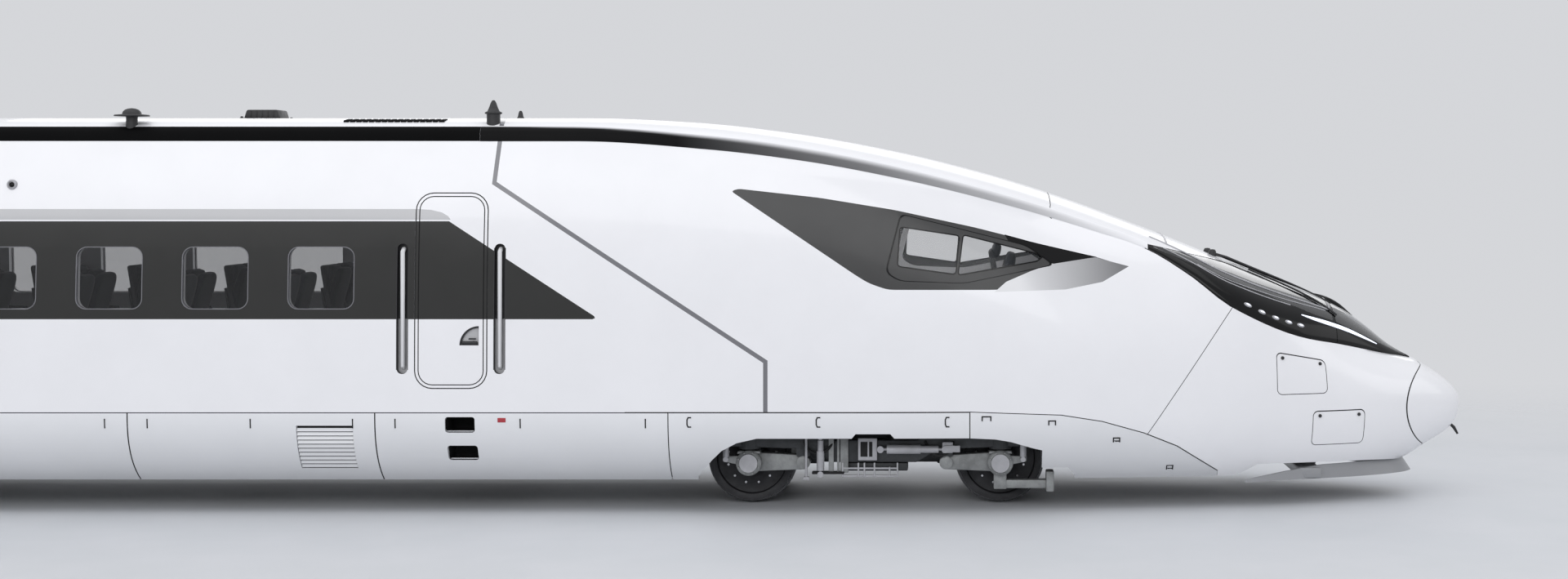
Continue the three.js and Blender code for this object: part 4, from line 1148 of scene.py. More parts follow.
def block(x0, y0, z0, x1, y1, z1, bevel=8.0, segments=2):
    """A box with rounded edges."""
    vertices = [mm(x, y, z) for x in sorted((x0, x1)) for y in sorted((y0, y1)) for z in sorted((z0, z1))]
    faces = [(0, 1, 3, 2), (4, 6, 7, 5), (0, 4, 5, 1), (2, 3, 7, 6), (0, 2, 6, 4), (1, 5, 7, 3)]
    return bevelled(mesh_object("block", vertices, faces), bevel, segments)


def bevelled(made, bevel, segments=2, angle=30):
    """Turns the faces outwards and rounds every edge sharper than an angle."""
    bm = bmesh.new()
    bm.from_mesh(made.data)
    bmesh.ops.recalc_face_normals(bm, faces=bm.faces)
    if bevel:
        sharp = [e for e in bm.edges if len(e.link_faces) == 2 and e.calc_face_angle(0) > math.radians(angle)]
        bmesh.ops.bevel(bm, geom=sharp, offset=bevel / 1000, segments=segments, affect="EDGES", profile=0.5,
                        clamp_overlap=True)
    bm.to_mesh(made.data)
    bm.free()
    return made


def plate(points, y0, y1, bevel=6.0):
    """An outline in x and z, carried across the car and rounded along its edges."""
    vertices = [mm(x, y, z) for y in sorted((y0, y1)) for x, z in points]
    return bevelled(mesh_object("plate", vertices, prism_faces(len(points))), bevel)


def bolt(x, y, z, side, radius=16, height=14):
    """A hexagon head that faces out of the car's side."""
    return lathe([(0, 0), (radius, 0), (radius, side * height * 0.8), (radius * 0.85, side * height),
                  (0, side * height)],
                 (x, y, z), "y", 6)


def finish_group(name, parts, material, body="car_body", replaced=(), slot=None, angle=40):
    """Joins parts into one piece with one material."""
    return dress(joined_coat(name, parts, material), body, *replaced, slot=slot, angle=angle)


# ------------------------------------------------------------------ cab module and nose
CAB_GLASS = ((7380, 2905), (7235, 2335), (7370, 2250), (8000, 2225), (8890, 2400), (8620, 2590))
CAB_GLASS_MIDDLE = (7950, 2530)
CAB_MASK = [(5722, 3127), (5793, 3151), (6583, 3063), (7317, 2943), (8111, 2769), (8732, 2610), (9295, 2478),
            (9613, 2379), (9370, 2247), (9002, 2179), (8270, 2161), (7258, 2165), (7075, 2228), (6955, 2300)]
CAB_FADE = [(8300, 2140), (8414, 2239), (8656, 2340), (8884, 2418), (9303, 2469), (9640, 2379), (9370, 2230),
            (9002, 2160)]
CAB_WEDGE = [(8400, 2700), (8732, 2608), (9319, 2473), (8884, 2410), (8657, 2451), (8500, 2530)]


def rounded_polygon(points, radius, steps=5):
    """A polygon with its corners rounded by quadratic arcs."""
    out = []
    count = len(points)
    for i, p in enumerate(points):
        here, before, after = Vector(p), Vector(points[i - 1]), Vector(points[(i + 1) % count])
        to_before, to_after = before - here, after - here
        reach = min(radius, 0.45 * to_before.length, 0.45 * to_after.length)
        a, b = here + to_before.normalized() * reach, here + to_after.normalized() * reach
        for j in range(steps + 1):
            t = j / steps
            out.append(tuple(a * (1 - t) ** 2 + here * 2 * t * (1 - t) + b * t * t))
    return out


def cab_glass(scale, radius=70):
    """The outline of the cab's side window, scaled about its middle."""
    mx, mz = CAB_GLASS_MIDDLE
    return rounded_polygon([(mx + (x - mx) * scale, mz + (z - mz) * scale) for x, z in CAB_GLASS], radius)


def cab_module():
    """The cab shell with its painted mask, window openings and roof seam."""
    mask = combine(mask_prism(SCREEN_FOOT - 900, MASK_END, -SEAM / 2), ahead_of_roof_edge(-SEAM / 2),
                   "INTERSECT")
    cab = panel("cab_shell_skin", (0, WALL),
                [slab(JOINT_X, -FAR, 0, NOSE_X, FAR, FAR), above_cowl_line(SEAM / 2),
                 behind_nose_seam(SEAM / 2)],
                [mask])
    for _, side in SIDES:
        combine(cab, side_prism(cab_glass(0.9), side), "DIFFERENCE")
        combine(cab, sunk(side_prism(cab_glass(1.01), side), 16), "DIFFERENCE")
    coat(cab, M["white"], M["mask"], M["pale"], M["line"], M["black"], M["fade"], M["groove"])
    for _, side in SIDES:
        paint(cab, 1, rounded_polygon(CAB_MASK, 60, 3), side)
        paint(cab, 5, CAB_FADE, side)
        paint(cab, 4, CAB_WEDGE, side)
        paint(cab, 3, GREY_LINE, side)
    seam = [(8868, FAR), (8868, 2990), (8856, 2930), (8846, 2895), (8852, 2870), (8876, 2852)]
    combine(cab, sunk(prism(strip(seam, 8)), 14), "DIFFERENCE")
    # painted shade: the seam groove's walls and floor get the dark slot
    darken(cab, 6, strip(seam, 9))
    dress(cab, "car_body", "cab_shell", slot="body_white")
    for label, side in SIDES:
        cab_windows(label, side)


SLIDING_PANE = rounded_polygon([(7380, 2771), (7950, 2684), (7915, 2319), (7357, 2399)], 30)
QUARTER_LIGHT = rounded_polygon([(7998, 2690), (8779, 2490), (8722, 2443), (7950, 2313)], 25)


def grown(outline, amount):
    """An outline moved outwards by an amount."""
    count = len(outline)
    reach = amount if turning(outline) > 0 else -amount
    out = []
    for i, point in enumerate(outline):
        along = Vector(outline[(i + 1) % count]) - Vector(outline[i - 1])
        normal = Vector((along.y, -along.x)).normalized() * reach
        out.append(tuple(Vector(point) + normal))
    return out


def cab_windows(label, side):
    """The framed window panel: a sliding pane, a pillar and a quarter light, each edged by a dark seal."""
    field = panel(f"cab_window_panel_{label}", (2, 15), [side_prism(cab_glass(0.985), side)],
                  [side_prism(SLIDING_PANE, side), side_prism(QUARTER_LIGHT, side)])
    dress(coat(field, M["mask"]), "car_body", slot="dark_band")
    rings = []
    for outer, inner in ((cab_glass(1.004), cab_glass(0.985)), (grown(SLIDING_PANE, 12), SLIDING_PANE),
                         (grown(QUARTER_LIGHT, 12), QUARTER_LIGHT)):
        ring = combine(side_prism(outer, side), side_prism(inner, side), "DIFFERENCE")
        rings.append(combine(layer("ring", 0, 16), ring, "INTERSECT"))
    dress(joined_coat(f"cab_window_seals_{label}", rings, M["black"]), "car_body", slot="rubber")
    panes = []
    for outline in (grown(SLIDING_PANE, 1), grown(QUARTER_LIGHT, 1)):
        panes.append(combine(layer("pane", 6, 13), side_prism(outline, side), "INTERSECT"))
    dress(joined_coat(f"cab_window_panes_{label}", panes, M["cab_pane"]), "car_body",
          f"cab_side_glazing_{label}",
          slot="glass")


HATCHES = {"upper": (11126, 11648, 1100, 1480), "lower": (11484, 12033, 580, 915)}
HATCH_SLANT = {1480: (30, -62), 915: (0, 0)}


def hatch_slant(place, share):
    """How far a hatch's top edge rises above its level height, at a share of the way forward."""
    at_rear, at_front = HATCH_SLANT[place[3]]
    return at_rear + (at_front - at_rear) * share


def hatch_frame(place, side):
    """A hatch's lower rear corner, its three directions and its width and height."""
    rear, front, low, high = place
    start = Vector(surface_point(rear, low, side))
    along = Vector(surface_point(front, low, side)) - start
    width = along.length
    along.normalize()
    up = Vector(surface_point((rear + front) / 2, high, side)) - start
    up -= along * up.dot(along)
    height = up.length
    up.normalize()
    out = along.cross(up) * -side
    return start + out * 12, along, up, out, width, height


def hatch_prism(place, side, grow, top_grow):
    """Cutter for one nose hatch, square to the skin there."""
    start, along, up, out, width, height = hatch_frame(place, side)
    shape = rounded(-grow, -grow, width + grow, height + top_grow, 50 + grow)
    shape = [(a, b + (hatch_slant(place, a / width) if b > height / 2 else 0)) for a, b in shape]
    vertices = [mm(*(start + along * a + up * b + out * depth)) for depth in (-200, 200) for a, b in shape]
    return bevelled(mesh_object("hatch_prism", vertices, prism_faces(len(shape))), 0)


def nose():
    """The nose cowl, windscreen, headlamp hood, nose covers and hatches."""
    openings = [hatch_prism(place, side, 6, 10) for place in HATCHES.values() for _, side in SIDES]
    cowl = panel("nose_cowl_skin", (0, NOSE_WALL), [above_cowl_line(4)],
                 [behind_nose_seam(-5), mask_prism(RIDGE_END, MASK_END, -SEAM / 2), ahead_of_cover_seam(-16)]
                 + openings)
    dress(coat(cowl, M["white"]), "car_body", "nose_cowl", slot="body_white")
    screen = panel("windscreen_skin", (0, NOSE_WALL),
                   [mask_prism(SCREEN_FOOT + SEAM, MASK_END, SEAM / 2), ahead_of_roof_edge(SEAM / 2)])
    coat(screen, M["black"], M["screen"])
    paint(screen, 1, [(9900, 2560), (11568, 1868), (11768, 1800), (11768, FAR), (9900, FAR)], 0)
    dress(screen, "car_body", "windscreen", slot="glass")
    hood = panel("headlamp_hood_skin", (0, NOSE_WALL), [mask_prism(RIDGE_END + SEAM, SCREEN_FOOT, SEAM / 2)])
    coat(hood, M["black"], M["screen"])
    paint(hood, 1, [(11800, 1790), (12620, 1400), (12640, 1420), (11800, FAR)], 0)
    dress(hood, "car_body", "headlamp_hood", slot="black_gloss")
    for label, side in SIDES:
        half = prism(rectangle(0, -FAR, OUT, FAR), *sorted((side * FAR, side * 4)))
        cover = panel(f"nose_cover_skin_{label}", (0, NOSE_WALL), [ahead_of_cover_seam(0), half])
        dress(coat(cover, M["white"]), f"nose_cover_{label}", f"nose_cover_{label}", slot="body_white")
        for level, place in HATCHES.items():
            name = f"{level}_nose_hatch_{label}"
            lid = panel(f"{name}_lid", (0, 30), [hatch_prism(place, side, -1.5, -1.5)])
            dress(coat(lid, M["white"]), name, name, slot="body_white")
            start, along, up, _, width, height = hatch_frame(place, side)
            fasteners = []
            for share in (0.12, 0.88):
                rough = start + along * width * share + up * (height - 40 + hatch_slant(place, share))
                x, y, z = surface_point(rough.x, rough.z, side, 1)
                fasteners.append(lathe([(0, -12), (16, -12), (18, 0), (15, 2.5), (0, 2.5)], (x, y, z), "y",
                                       20))
            # a dark seal ring in the hatch gap, which also paints the gap's shadow
            ring = combine(hatch_prism(place, side, 6.5, 10.5), hatch_prism(place, side, -1, -1),
                           "DIFFERENCE")
            ring = combine(layer(f"{name}_seal", 2, 14), ring, "INTERSECT")
            dress(coat(ring, M["groove"]), "car_body", slot="rubber")
            finish_group(f"{name}_fasteners", fasteners, M["dark_plastic"], name, slot="black_gloss")


# ------------------------------------------------------------------ skirts, cowl
def bogie_opening(where):
    """The skirt's opening round a bogie, longer at one end; turned round for the rear bogie."""
    outline = [(-1788, 0), (-1728, 316), (-1577, 495), (-1480, 590), (-1330, 670), (-1133, 716), (-207, 716),
               (-169, 761), (170, 761), (209, 716), (940, 716), (1200, 702), (1350, 674), (1552, 612),
               (1655, 586),
               (1655, 401), (1909, 401), (1983, 316), (1983, 0)]
    turn = 1 if where == "front" else -1
    return [(BOGIE_X[where] + turn * x, z) for x, z in outline]


STEP_POCKETS = ((2950, 777, 3240, 930), (2962, 497, 3258, 646))
LOUVRE = (1501, 409, 2054, 846)


def skirts():
    """The skirts and lower cowls, with step pockets and louvres."""
    for label, side in SIDES:
        halves = {}
        for name, start, end in zip(("rear_bogie_skirt", "middle_skirt", "front_bogie_skirt"), SKIRT_JOINTS,
                                    SKIRT_JOINTS[1:]):
            keep = side_prism(rectangle(start + 5, 0, end - 5, WAIST - 9), side)
            halves[name] = panel(f"{name}_panel_{label}", (0, SKIRT_WALL), [keep])
        halves["lower_cowl"] = panel(f"lower_cowl_panel_{label}", (0, SKIRT_WALL), [below_cowl_line(5, side)])
        for name in ("front_bogie_skirt", "lower_cowl"):
            combine(halves[name], side_prism(bogie_opening("front"), side), "DIFFERENCE")
        combine(halves["rear_bogie_skirt"], side_prism(bogie_opening("rear"), side), "DIFFERENCE")
        middle = halves["middle_skirt"]
        for pocket in STEP_POCKETS:
            combine(middle, side_prism(rounded(*pocket, 28), side), "DIFFERENCE")
        combine(middle, side_prism(rectangle(*LOUVRE), side), "DIFFERENCE")
        grooves = [rectangle(x - 6, 0, x + 6, WAIST) for x in (-6101, -3600, -139, 2269)]
        for outline in grooves:
            combine(middle, sunk(side_prism(outline, side), 14), "DIFFERENCE")
        for name, target in halves.items():
            coat(target, M["skirt"], M["groove"])
            if target is middle:
                # painted shade: the joint grooves' walls and floor get the dark slot
                for outline in grooves:
                    darken(target, 1, outline)
            dress(target, "car_body", f"{name}_{label}", slot="skirt_white")
        step_pockets(label, side)
        louvre(label, side)


def step_pockets(label, side):
    """Dark boxes behind the two step openings, each with a bright tread along its lower edge."""
    boxes, treads = [], []
    for x0, z0, x1, z1 in STEP_POCKETS:
        outer = side * (surface_half_width(FULL_SECTION, z0) - 14)
        inner = side * 1170
        shape = rectangle(x0 - 10, z0 - 10, x1 + 10, z1 + 10)
        shell_box = prism(shape, *sorted((outer, inner)))
        hollow = prism(rectangle(x0, z0, x1, z1), *sorted((outer + side * 20, inner + side * 10)))
        boxes.append(combine(shell_box, hollow, "DIFFERENCE"))
        treads.append(block(x0 + 14, outer - side * 30, z0 + 6, x1 - 14, outer - side * 2, z0 + 18, 3))
    finish_group(f"step_pockets_{label}", boxes, M["groove"], slot="black_gloss")
    finish_group(f"step_treads_{label}", treads, M["bright"], slot="frame_grey")


def louvre(label, side):
    """Slanting slats in a frame set into the skirt."""
    x0, z0, x1, z1 = LOUVRE
    count = 10
    pitch = (z1 - z0 - 24) / count
    slats = []
    for i in range(count):
        low, high = z0 + 10 + i * pitch, z0 + 10 + (i + 1) * pitch - 12
        lower, upper = (side * (surface_half_width(FULL_SECTION, z) - 5) for z in (low, high))
        shape = [(lower, low), (upper - side * 16, high), (upper - side * 24, high),
                 (lower - side * 8, low - 4)]
        vertices = [mm(x, y, z) for x in (x0 + 4, x1 - 4) for y, z in shape]
        slats.append(bevelled(mesh_object("slat", vertices, prism_faces(4)), 0))
    finish_group(f"louvre_slats_{label}", slats, M["skirt"], slot="skirt_white")
    backing = panel(f"louvre_backing_{label}", (46, 50),
                    [side_prism(rectangle(x0 - 8, z0 - 8, x1 + 8, z1 + 8), side)])
    dress(coat(backing, M["groove"]), "car_body", slot="black_gloss")


DOME_X, SPIKE_X, SIDE_ANTENNA_Y, DOME_Y = -201, 3352, 1240, 1290


def roof():
    """The roof panel with its dark band, and what stands on it."""
    cover = panel("roof_skin", (0, WALL), [slab(BODY_REAR, -FAR, ROOF_SEAM, JOINT_X, FAR, FAR)])
    coat(cover, M["white"], M["roof_black"], M["pale"], M["line"])
    for _, side in SIDES:
        paint(cover, 1, ROOF_BLACK, side)
        paint(cover, 3, GREY_LINE, side)
    dress(cover, "car_body", "roof_panel", slot="body_white")
    antennas()


def antennas():
    """The roof's antennas and vent grilles."""
    top = ROOF_TOP
    dome = [(0, -60), (56, -60), (54, 74), (60, 80), (165, 84), (168, 90), (160, 98), (92, 104), (84, 128),
            (66, 148),
            (36, 160), (0, 165)]
    spike = [(0, -60), (66, -60), (66, 84), (84, 92), (84, 104), (60, 116), (44, 150), (28, 198), (14, 222),
             (0, 226)]
    small = [(0, -40), (45, -40), (44, 10), (30, 30), (22, 70), (12, 92), (0, 95)]
    parts = [lathe(dome, (DOME_X, -DOME_Y, top_of_roof(DOME_Y)), "z", 40),
             lathe(spike, (SPIKE_X, -SIDE_ANTENNA_Y, top_of_roof(SIDE_ANTENNA_Y)), "z", 40),
             lathe(small, (3346, 0, top), "z", 32)]
    finish_group("roof_antennas", parts, M["dark_plastic"], slot="black_gloss")
    rear, front, half, high = 530, 830, 160, 100
    body = plate([(rear - 50, top - 30), (front + 50, top - 30), (front + 10, top + high),
                  (rear - 10, top + high)],
                 -half, half, 18)
    base = block(rear - 60, -half - 60, top - 20, front + 60, half + 60, top + 14, 5)
    studs = [lathe([(0, 0), (14, 0), (14, 14), (10, 18), (0, 18)], (x, y, top + 12), "z", 6)
             for x in (rear - 45, front + 45) for y in (-half - 30, half + 30)]
    ribs = [block(x, -half - 6, top + 10, x + 14, half + 6, top + high - 10, 4)
            for x in range(rear + 30, front, 60)]
    finish_group("flat_antenna", [body, base] + studs + ribs, M["dark_plastic"], slot="black_gloss")
    grille = []
    for _, side in SIDES:
        for i in range(16):
            x = 1861 + i * 63
            outer, inner = 1215, 1060
            corners = []
            for y, lift in ((outer, 20), (inner, 9), (inner, -14), (outer, -14)):
                corners.append((side * y, top_of_roof(y) + lift))
            vertices = [mm(place, y, z) for place in (x, x + 48) for y, z in corners]
            grille.append(bevelled(mesh_object("slot", vertices, prism_faces(4)), 3))
    finish_group("roof_vent_grille", grille, M["roof_black"], slot="black_gloss")


def top_of_roof(y):
    """Height of the roof at a half width on the straight part of the car."""
    width, r = crease_half_width(FULL_SECTION), roof_power(FULL_SECTION)
    share = (1 - min(1, abs(y) / width) ** r) ** (1 / r)
    return crease_height(FULL_SECTION) + (ROOF_TOP - crease_height(FULL_SECTION)) * share


# ------------------------------------------------------------------ wheels and bogies
AXLE_HEIGHT, BOX_Y, HALF_WHEELBASE = 425.0, 1035.0, 1250


def wheelset(name, body, x):
    """Axle, wheels and the bolts of the wheels' brake discs."""
    inner = 680
    half = [(92, 0), (92, inner - 24), (152, inner - 6), (152, inner + 12), (200, inner + 30),
            (300, inner + 42),
            (346, inner + 30), (360, inner + 6), (378, inner), (440, inner), (451, inner + 6),
            (453, inner + 16),
            (447, inner + 26), (434, inner + 32), (427, inner + 44), (425, inner + 60), (424, inner + 128),
            (419, inner + 135), (372, inner + 135), (356, inner + 128), (346, inner + 96), (300, inner + 84),
            (200, inner + 92), (156, inner + 116), (150, inner + 128), (92, inner + 130), (66, inner + 150),
            (66, BOX_Y + 60), (0, BOX_Y + 60)]
    profile = [(r, -y) for r, y in half[::-1][:-1]] + half[1:]
    made = lathe(profile, (x, 0, AXLE_HEIGHT), "y", 96)
    coat(made, M["wheel"], M["tread"])
    for polygon in made.data.polygons:
        px, _, pz = (1000 * value for value in polygon.center)
        r = math.hypot(px - x, pz - FLANGE_HEIGHT - AXLE_HEIGHT)
        if r > 415 and polygon.area > 0:
            polygon.material_index = 1
    dress(made, body, name, slot="wheel_steel", angle=35)
    extras = []
    for side in (-1, 1):
        for k in range(12):
            a = math.radians(30 * k + 15)
            extras.append(bolt(x + 250 * math.cos(a), side * (inner + 87), AXLE_HEIGHT + 250 * math.sin(a),
                               side, 14, 20))
    finish_group(f"{name}_disc_bolts", extras, M["bright"], body, slot="wheel_steel")


def spring(x, y, z0, z1, radius, wire, turns=5):
    """A coil spring between two heights."""
    count = turns * 14
    points = []
    for i in range(count + 1):
        a = 2 * math.pi * i * turns / count
        z = z0 + wire + (z1 - z0 - 2 * wire) * i / count
        points.append((x + radius * math.cos(a), y + radius * math.sin(a), z))
    return tube(points, wire, 8)


def damper(a, b, radius, eye=34):
    """A hydraulic damper: wide shroud, narrower body and rubber-bushed eyes."""
    a, b = Vector(a), Vector(b)
    shroud = tube([a.lerp(b, 0.1), a.lerp(b, 0.62)], radius, 20)
    cylinder = tube([a.lerp(b, 0.55), a.lerp(b, 0.9)], radius * 0.78, 20)
    rod = tube([a, b], radius * 0.3, 12)
    across = Vector((0, 32, 0))
    return [shroud, cylinder, rod] + [tube([p - across, p + across], eye, 16) for p in (a, b)]


def turned(x, y, side, rows, sides):
    """A turned form at axle height: its rows are radius and place outwards from y."""
    return lathe([(r, side * place) for r, place in rows], (x, y, AXLE_HEIGHT), "y", sides)


def axle_end(parts, x, y, side, end):
    """One axle box with its arm, springs, damper and brackets; end is 1 at the leading axle, else -1."""
    high = AXLE_HEIGHT
    eye, damper_x = x - end * 540, x + end * 225
    box = [(0, -110), (118, -110), (126, -60), (126, 112), (112, 126), (96, 132), (92, 140), (0, 140)]
    arm = [(x - end * 60, high + 100), (eye, high + 72), (eye - end * 60, high + 30),
           (eye - end * 60, high - 40),
           (eye, high - 72), (x - end * 60, high - 92)]
    saddle = [(x - 118, high + 92), (x + 118, high + 92), (x + 108, high + 118), (x - 108, high + 118)]
    foot = [(x + end * 60, high + 70), (x + end * 262, high + 66), (x + end * 262, high + 12),
            (x + end * 60, high - 30)]
    parts["boxes"] += [
        turned(x, y, side, box, 40),
        plate(arm, y - 52, y + 52, 14),
        turned(eye, y, side, [(0, -78), (66, -78), (66, 84), (50, 92), (0, 92)], 28),
        plate(saddle, y - 105, y + 105, 6),
        plate(foot, y + side * 40, y + side * 86, 10),
    ]
    parts["dampers"].append(turned(x, y, side, [(66, 139), (90, 139), (90, 148), (66, 148)], 40))
    parts["dampers"] += damper((damper_x, y + side * 112, high + 40), (damper_x, y + side * 112, 715), 32, 26)
    parts["coils"] += [
        turned(x, y, side, [(0, 138), (64, 138), (64, 143), (54, 147), (0, 147)], 32),
        spring(x, y, high + 116, 640, 84, 15, 4),
        spring(x, y, high + 116, 640, 50, 10, 5),
    ]
    for k in range(8):
        a = math.radians(45 * k + 22.5)
        parts["steels"].append(bolt(x + 107 * math.cos(a), y + side * 124, high + 107 * math.sin(a), side,
                                    10, 16))
    seat = [(0, 560), (112, 560), (118, 590), (118, 700), (100, 742), (0, 742)]
    cheek = [(eye - 64, high + 60), (eye + 64, high + 60), (eye + 84, 620), (eye - 84, 620)]
    parts["frame"] += [
        lathe(seat, (x, y, 0), "z", 32),
        plate(cheek, y - 84, y - 58, 6),
        plate(cheek, y + 58, y + 84, 6),
        block(damper_x - 40, y + side * 80, 690, damper_x + 40, y + side * 142, 735, 6),
    ]


def bogie_side(parts, cx, turn, y, side):
    """What hangs on one side of the frame between the axles; turn is 1, or -1 for a bogie that faces back."""
    dampers, coils = parts["dampers"], parts["coils"]
    dampers += damper((cx + turn * 60, y + side * 138, 566), (cx + turn * 700, y + side * 138, 566), 46, 34)
    dampers.append(block(cx + turn * 672, y + side * 80, 528, cx + turn * 780, y + side * 150, 640, 12))
    dampers.append(block(cx + turn * 690, y + side * 150, 540, cx + turn * 850, y + side * 166, 606, 5))
    hoop = [(cx + turn * px, pz) for px, pz in rectangle(-162, 455, 25, 674)]
    opening = [(cx + turn * px, pz) for px, pz in rectangle(-138, 492, -20, 640)]
    dampers.append(plate(hoop, y + side * 112, y + side * 136, 5))
    coils.append(plate(opening, y + side * 134, y + side * 141, 3))
    dampers.append(tube([(cx - turn * 60, y + side * 146, z) for z in (490, 642)], 9, 10))
    rod_x = cx - turn * 677
    dampers.append(tube([(rod_x, y + side * 128, z) for z in (268, 690)], 13, 14))
    dampers.append(block(rod_x - 30, y + side * 104, 262, rod_x + 30, y + side * 152, 292, 6))
    dampers += damper((cx - turn * 535, y + side * 128, 318), (cx - turn * 535, y + side * 128, 690), 38, 30)
    for px, half in ((-430, 26), (-360, 12), (-300, 40)):
        x = cx + turn * px
        parts["boxes"].append(block(x - half, y + side * 84, 330, x + half, y + side * 118, 664, 6))
    coils.append(block(cx - turn * 620, y + side * 70, 318, cx - turn * 300, y + side * 140, 344, 6))
    for z in (298, 374):
        dampers.append(block(cx - turn * 316, y + side * 96, z - 9, cx + turn * 228, y + side * 124, z + 9,
                             4))
    for px, top in ((-316, 430), (-160, 430), (-100, 430), (0, 430), (150, 388), (228, 430)):
        x = cx + turn * px
        dampers.append(block(x - 8, y + side * 92, 284, x + 8, y + side * 128, top, 4))
    for end in (-1, 1):
        x = cx + end * HALF_WHEELBASE
        parts["steels"].append(block(x - end * 500, side * 600, 420, x - end * 400, side * 900, 560, 14))
    parts["frame"].append(block(cx - 330, y - side * 80, 340, cx + 330, y + side * 60, 420, 14))
    for bend in (((-400, 96, 640), (-470, 126, 560), (-560, 122, 520), (-660, 110, 560), (-700, 96, 640)),
                 ((500, 96, 640), (560, 126, 540), (650, 126, 500), (740, 116, 540), (790, 96, 640))):
        coils.append(tube(smooth_path([(cx + px, y + side * out, z) for px, out, z in bend]), 14, 10))


def bogie(where):
    """A whole bogie with its wheelsets; the rear one faces back."""
    body = f"{where}_bogie"
    cx = BOGIE_X[where]
    turn = 1 if where == "front" else -1
    parts = {kind: [] for kind in ("frame", "boxes", "dampers", "coils", "steels")}
    half_beam = [(420, 430), (640, 560), (1580, 590), (1636, 640), (1636, 716), (640, 738), (420, 650)]
    beam = [(cx + px, pz) for px, pz in half_beam + [(-px, pz) for px, pz in half_beam[::-1]]]
    for _, side in SIDES:
        y = side * BOX_Y
        parts["frame"].append(plate(beam, y - side * 90, y + side * 90, 16))
        for end in (-1, 1):
            axle_end(parts, cx + end * HALF_WHEELBASE, y, side, end)
        bogie_side(parts, cx, turn, y, side)
        if where == "front":
            x = cx + HALF_WHEELBASE
            parts["steels"] += [
                block(x - 66, y - 56, 158, x + 62, y + 56, 345, 10),
                block(x - 60, y - 50, 165, x + 470, y + 50, 250, 12),
                block(x + 455, y - 88, 135, x + 535, y + 88, 340, 14),
            ]
    for x in (-330, 330):
        parts["frame"].append(tube([(cx + x, -BOX_Y, 520), (cx + x, BOX_Y, 520)], 95, 32))
    parts["frame"].append(block(cx - 430, -420, 400, cx + 430, 420, 640, 24))
    for end in (-1, 1):
        parts["frame"].append(block(cx + end * 330, -430, 330, cx + end * 820, 330, 640, 50, 3))
        parts["frame"].append(block(cx + end * 600, -330, 300, cx + end * 1060, 200, 480, 40, 3))
    finish_group(f"{body}_frame_beams", parts["frame"], M["bogie"], body, (f"{body}_frame",), "bogie_grey")
    finish_group(f"{body}_axle_boxes", parts["boxes"], M["box"], body, slot="bogie_grey")
    finish_group(f"{body}_dampers", parts["dampers"], M["damper"], body, slot="bogie_grey")
    finish_group(f"{body}_springs_and_pipes", parts["coils"], M["rubber"], body, slot="rubber", angle=60)
    finish_group(f"{body}_brackets", parts["steels"], M["box"], body, slot="bogie_grey")
    for end, word in ((1, "leading"), (-1, "trailing")):
        wheelset(f"{where}_bogie_{word}_wheelset", f"{where}_{word}_wheelset", cx + end * HALF_WHEELBASE)
    springs = []
    for _, side in SIDES:
        fat = [(0, 762), (190, 762), (236, 790), (258, 830), (258, 850), (236, 884), (190, 903), (0, 903)]
        springs.append(lathe(fat, (cx, side * BOX_Y * 0.93, 0), "z", 40))
    finish_group(f"{where}_air_springs", springs, M["rubber"], slot="rubber")


def smooth_path(points, steps=6):
    """A Catmull-Rom curve through points."""
    path = [Vector(p) for p in points]
    padded = [path[0] * 2 - path[1]] + path + [path[-1] * 2 - path[-2]]
    out = []
    for i in range(1, len(padded) - 2):
        a, b, c, d = padded[i - 1:i + 3]
        for j in range(steps):
            t = j / steps
            out.append(0.5 * ((2 * b) + (c - a) * t + (2 * a - 5 * b + 4 * c - d) * t**2
                              + (3 * b - a - 3 * c + d) * t**3))
    return out + [path[-1]]


# ------------------------------------------------------------------ soft pieces
def pillow(size, place, tilt=0.0, power=4.5, crown=0.14, pull=0.05, channels=(), cuts=9):
    """A padded form: crowned faces, sides that pull in between the corners, and sewn channels across its top.

    size is half of its length, width and thickness; tilt turns it about the car's width axis, in degrees.
    """
    bm = bmesh.new()
    bmesh.ops.create_cube(bm, size=2)
    bmesh.ops.subdivide_edges(bm, edges=bm.edges[:], cuts=cuts, use_grid_fill=True)
    for v in bm.verts:
        a, b, c = v.co
        largest = max(abs(a), abs(b), abs(c))
        norm = (abs(a) ** power + abs(b) ** power + abs(c) ** power) ** (1 / power)
        a, b, c = (value * largest / norm for value in (a, b, c))
        a2, b2 = a * (1 - pull * (1 - b * b)), b * (1 - pull * (1 - a * a))
        c *= 1 + crown * (1 - a * a) * (1 - b * b)
        if c > 0:
            c -= sum(0.16 * math.exp(-((a - line) / 0.05) ** 2) for line in channels)
            c -= 0.05 * math.exp(-((abs(b) - 0.86) / 0.05) ** 2)
        v.co = (a2 * size[0], b2 * size[1], c * size[2])
    turn = Matrix.Rotation(math.radians(tilt), 4, "Y")
    for v in bm.verts:
        v.co = mm(*(turn @ v.co + Vector(place)))
    mesh = bpy.data.meshes.new("pillow")
    bm.to_mesh(mesh)
    bm.free()
    made = bpy.data.objects.new("pillow", mesh)
    bpy.context.scene.collection.objects.link(made)
    return made


FLOOR_TOP, FIRST_SEAT = 1214.0, 1250


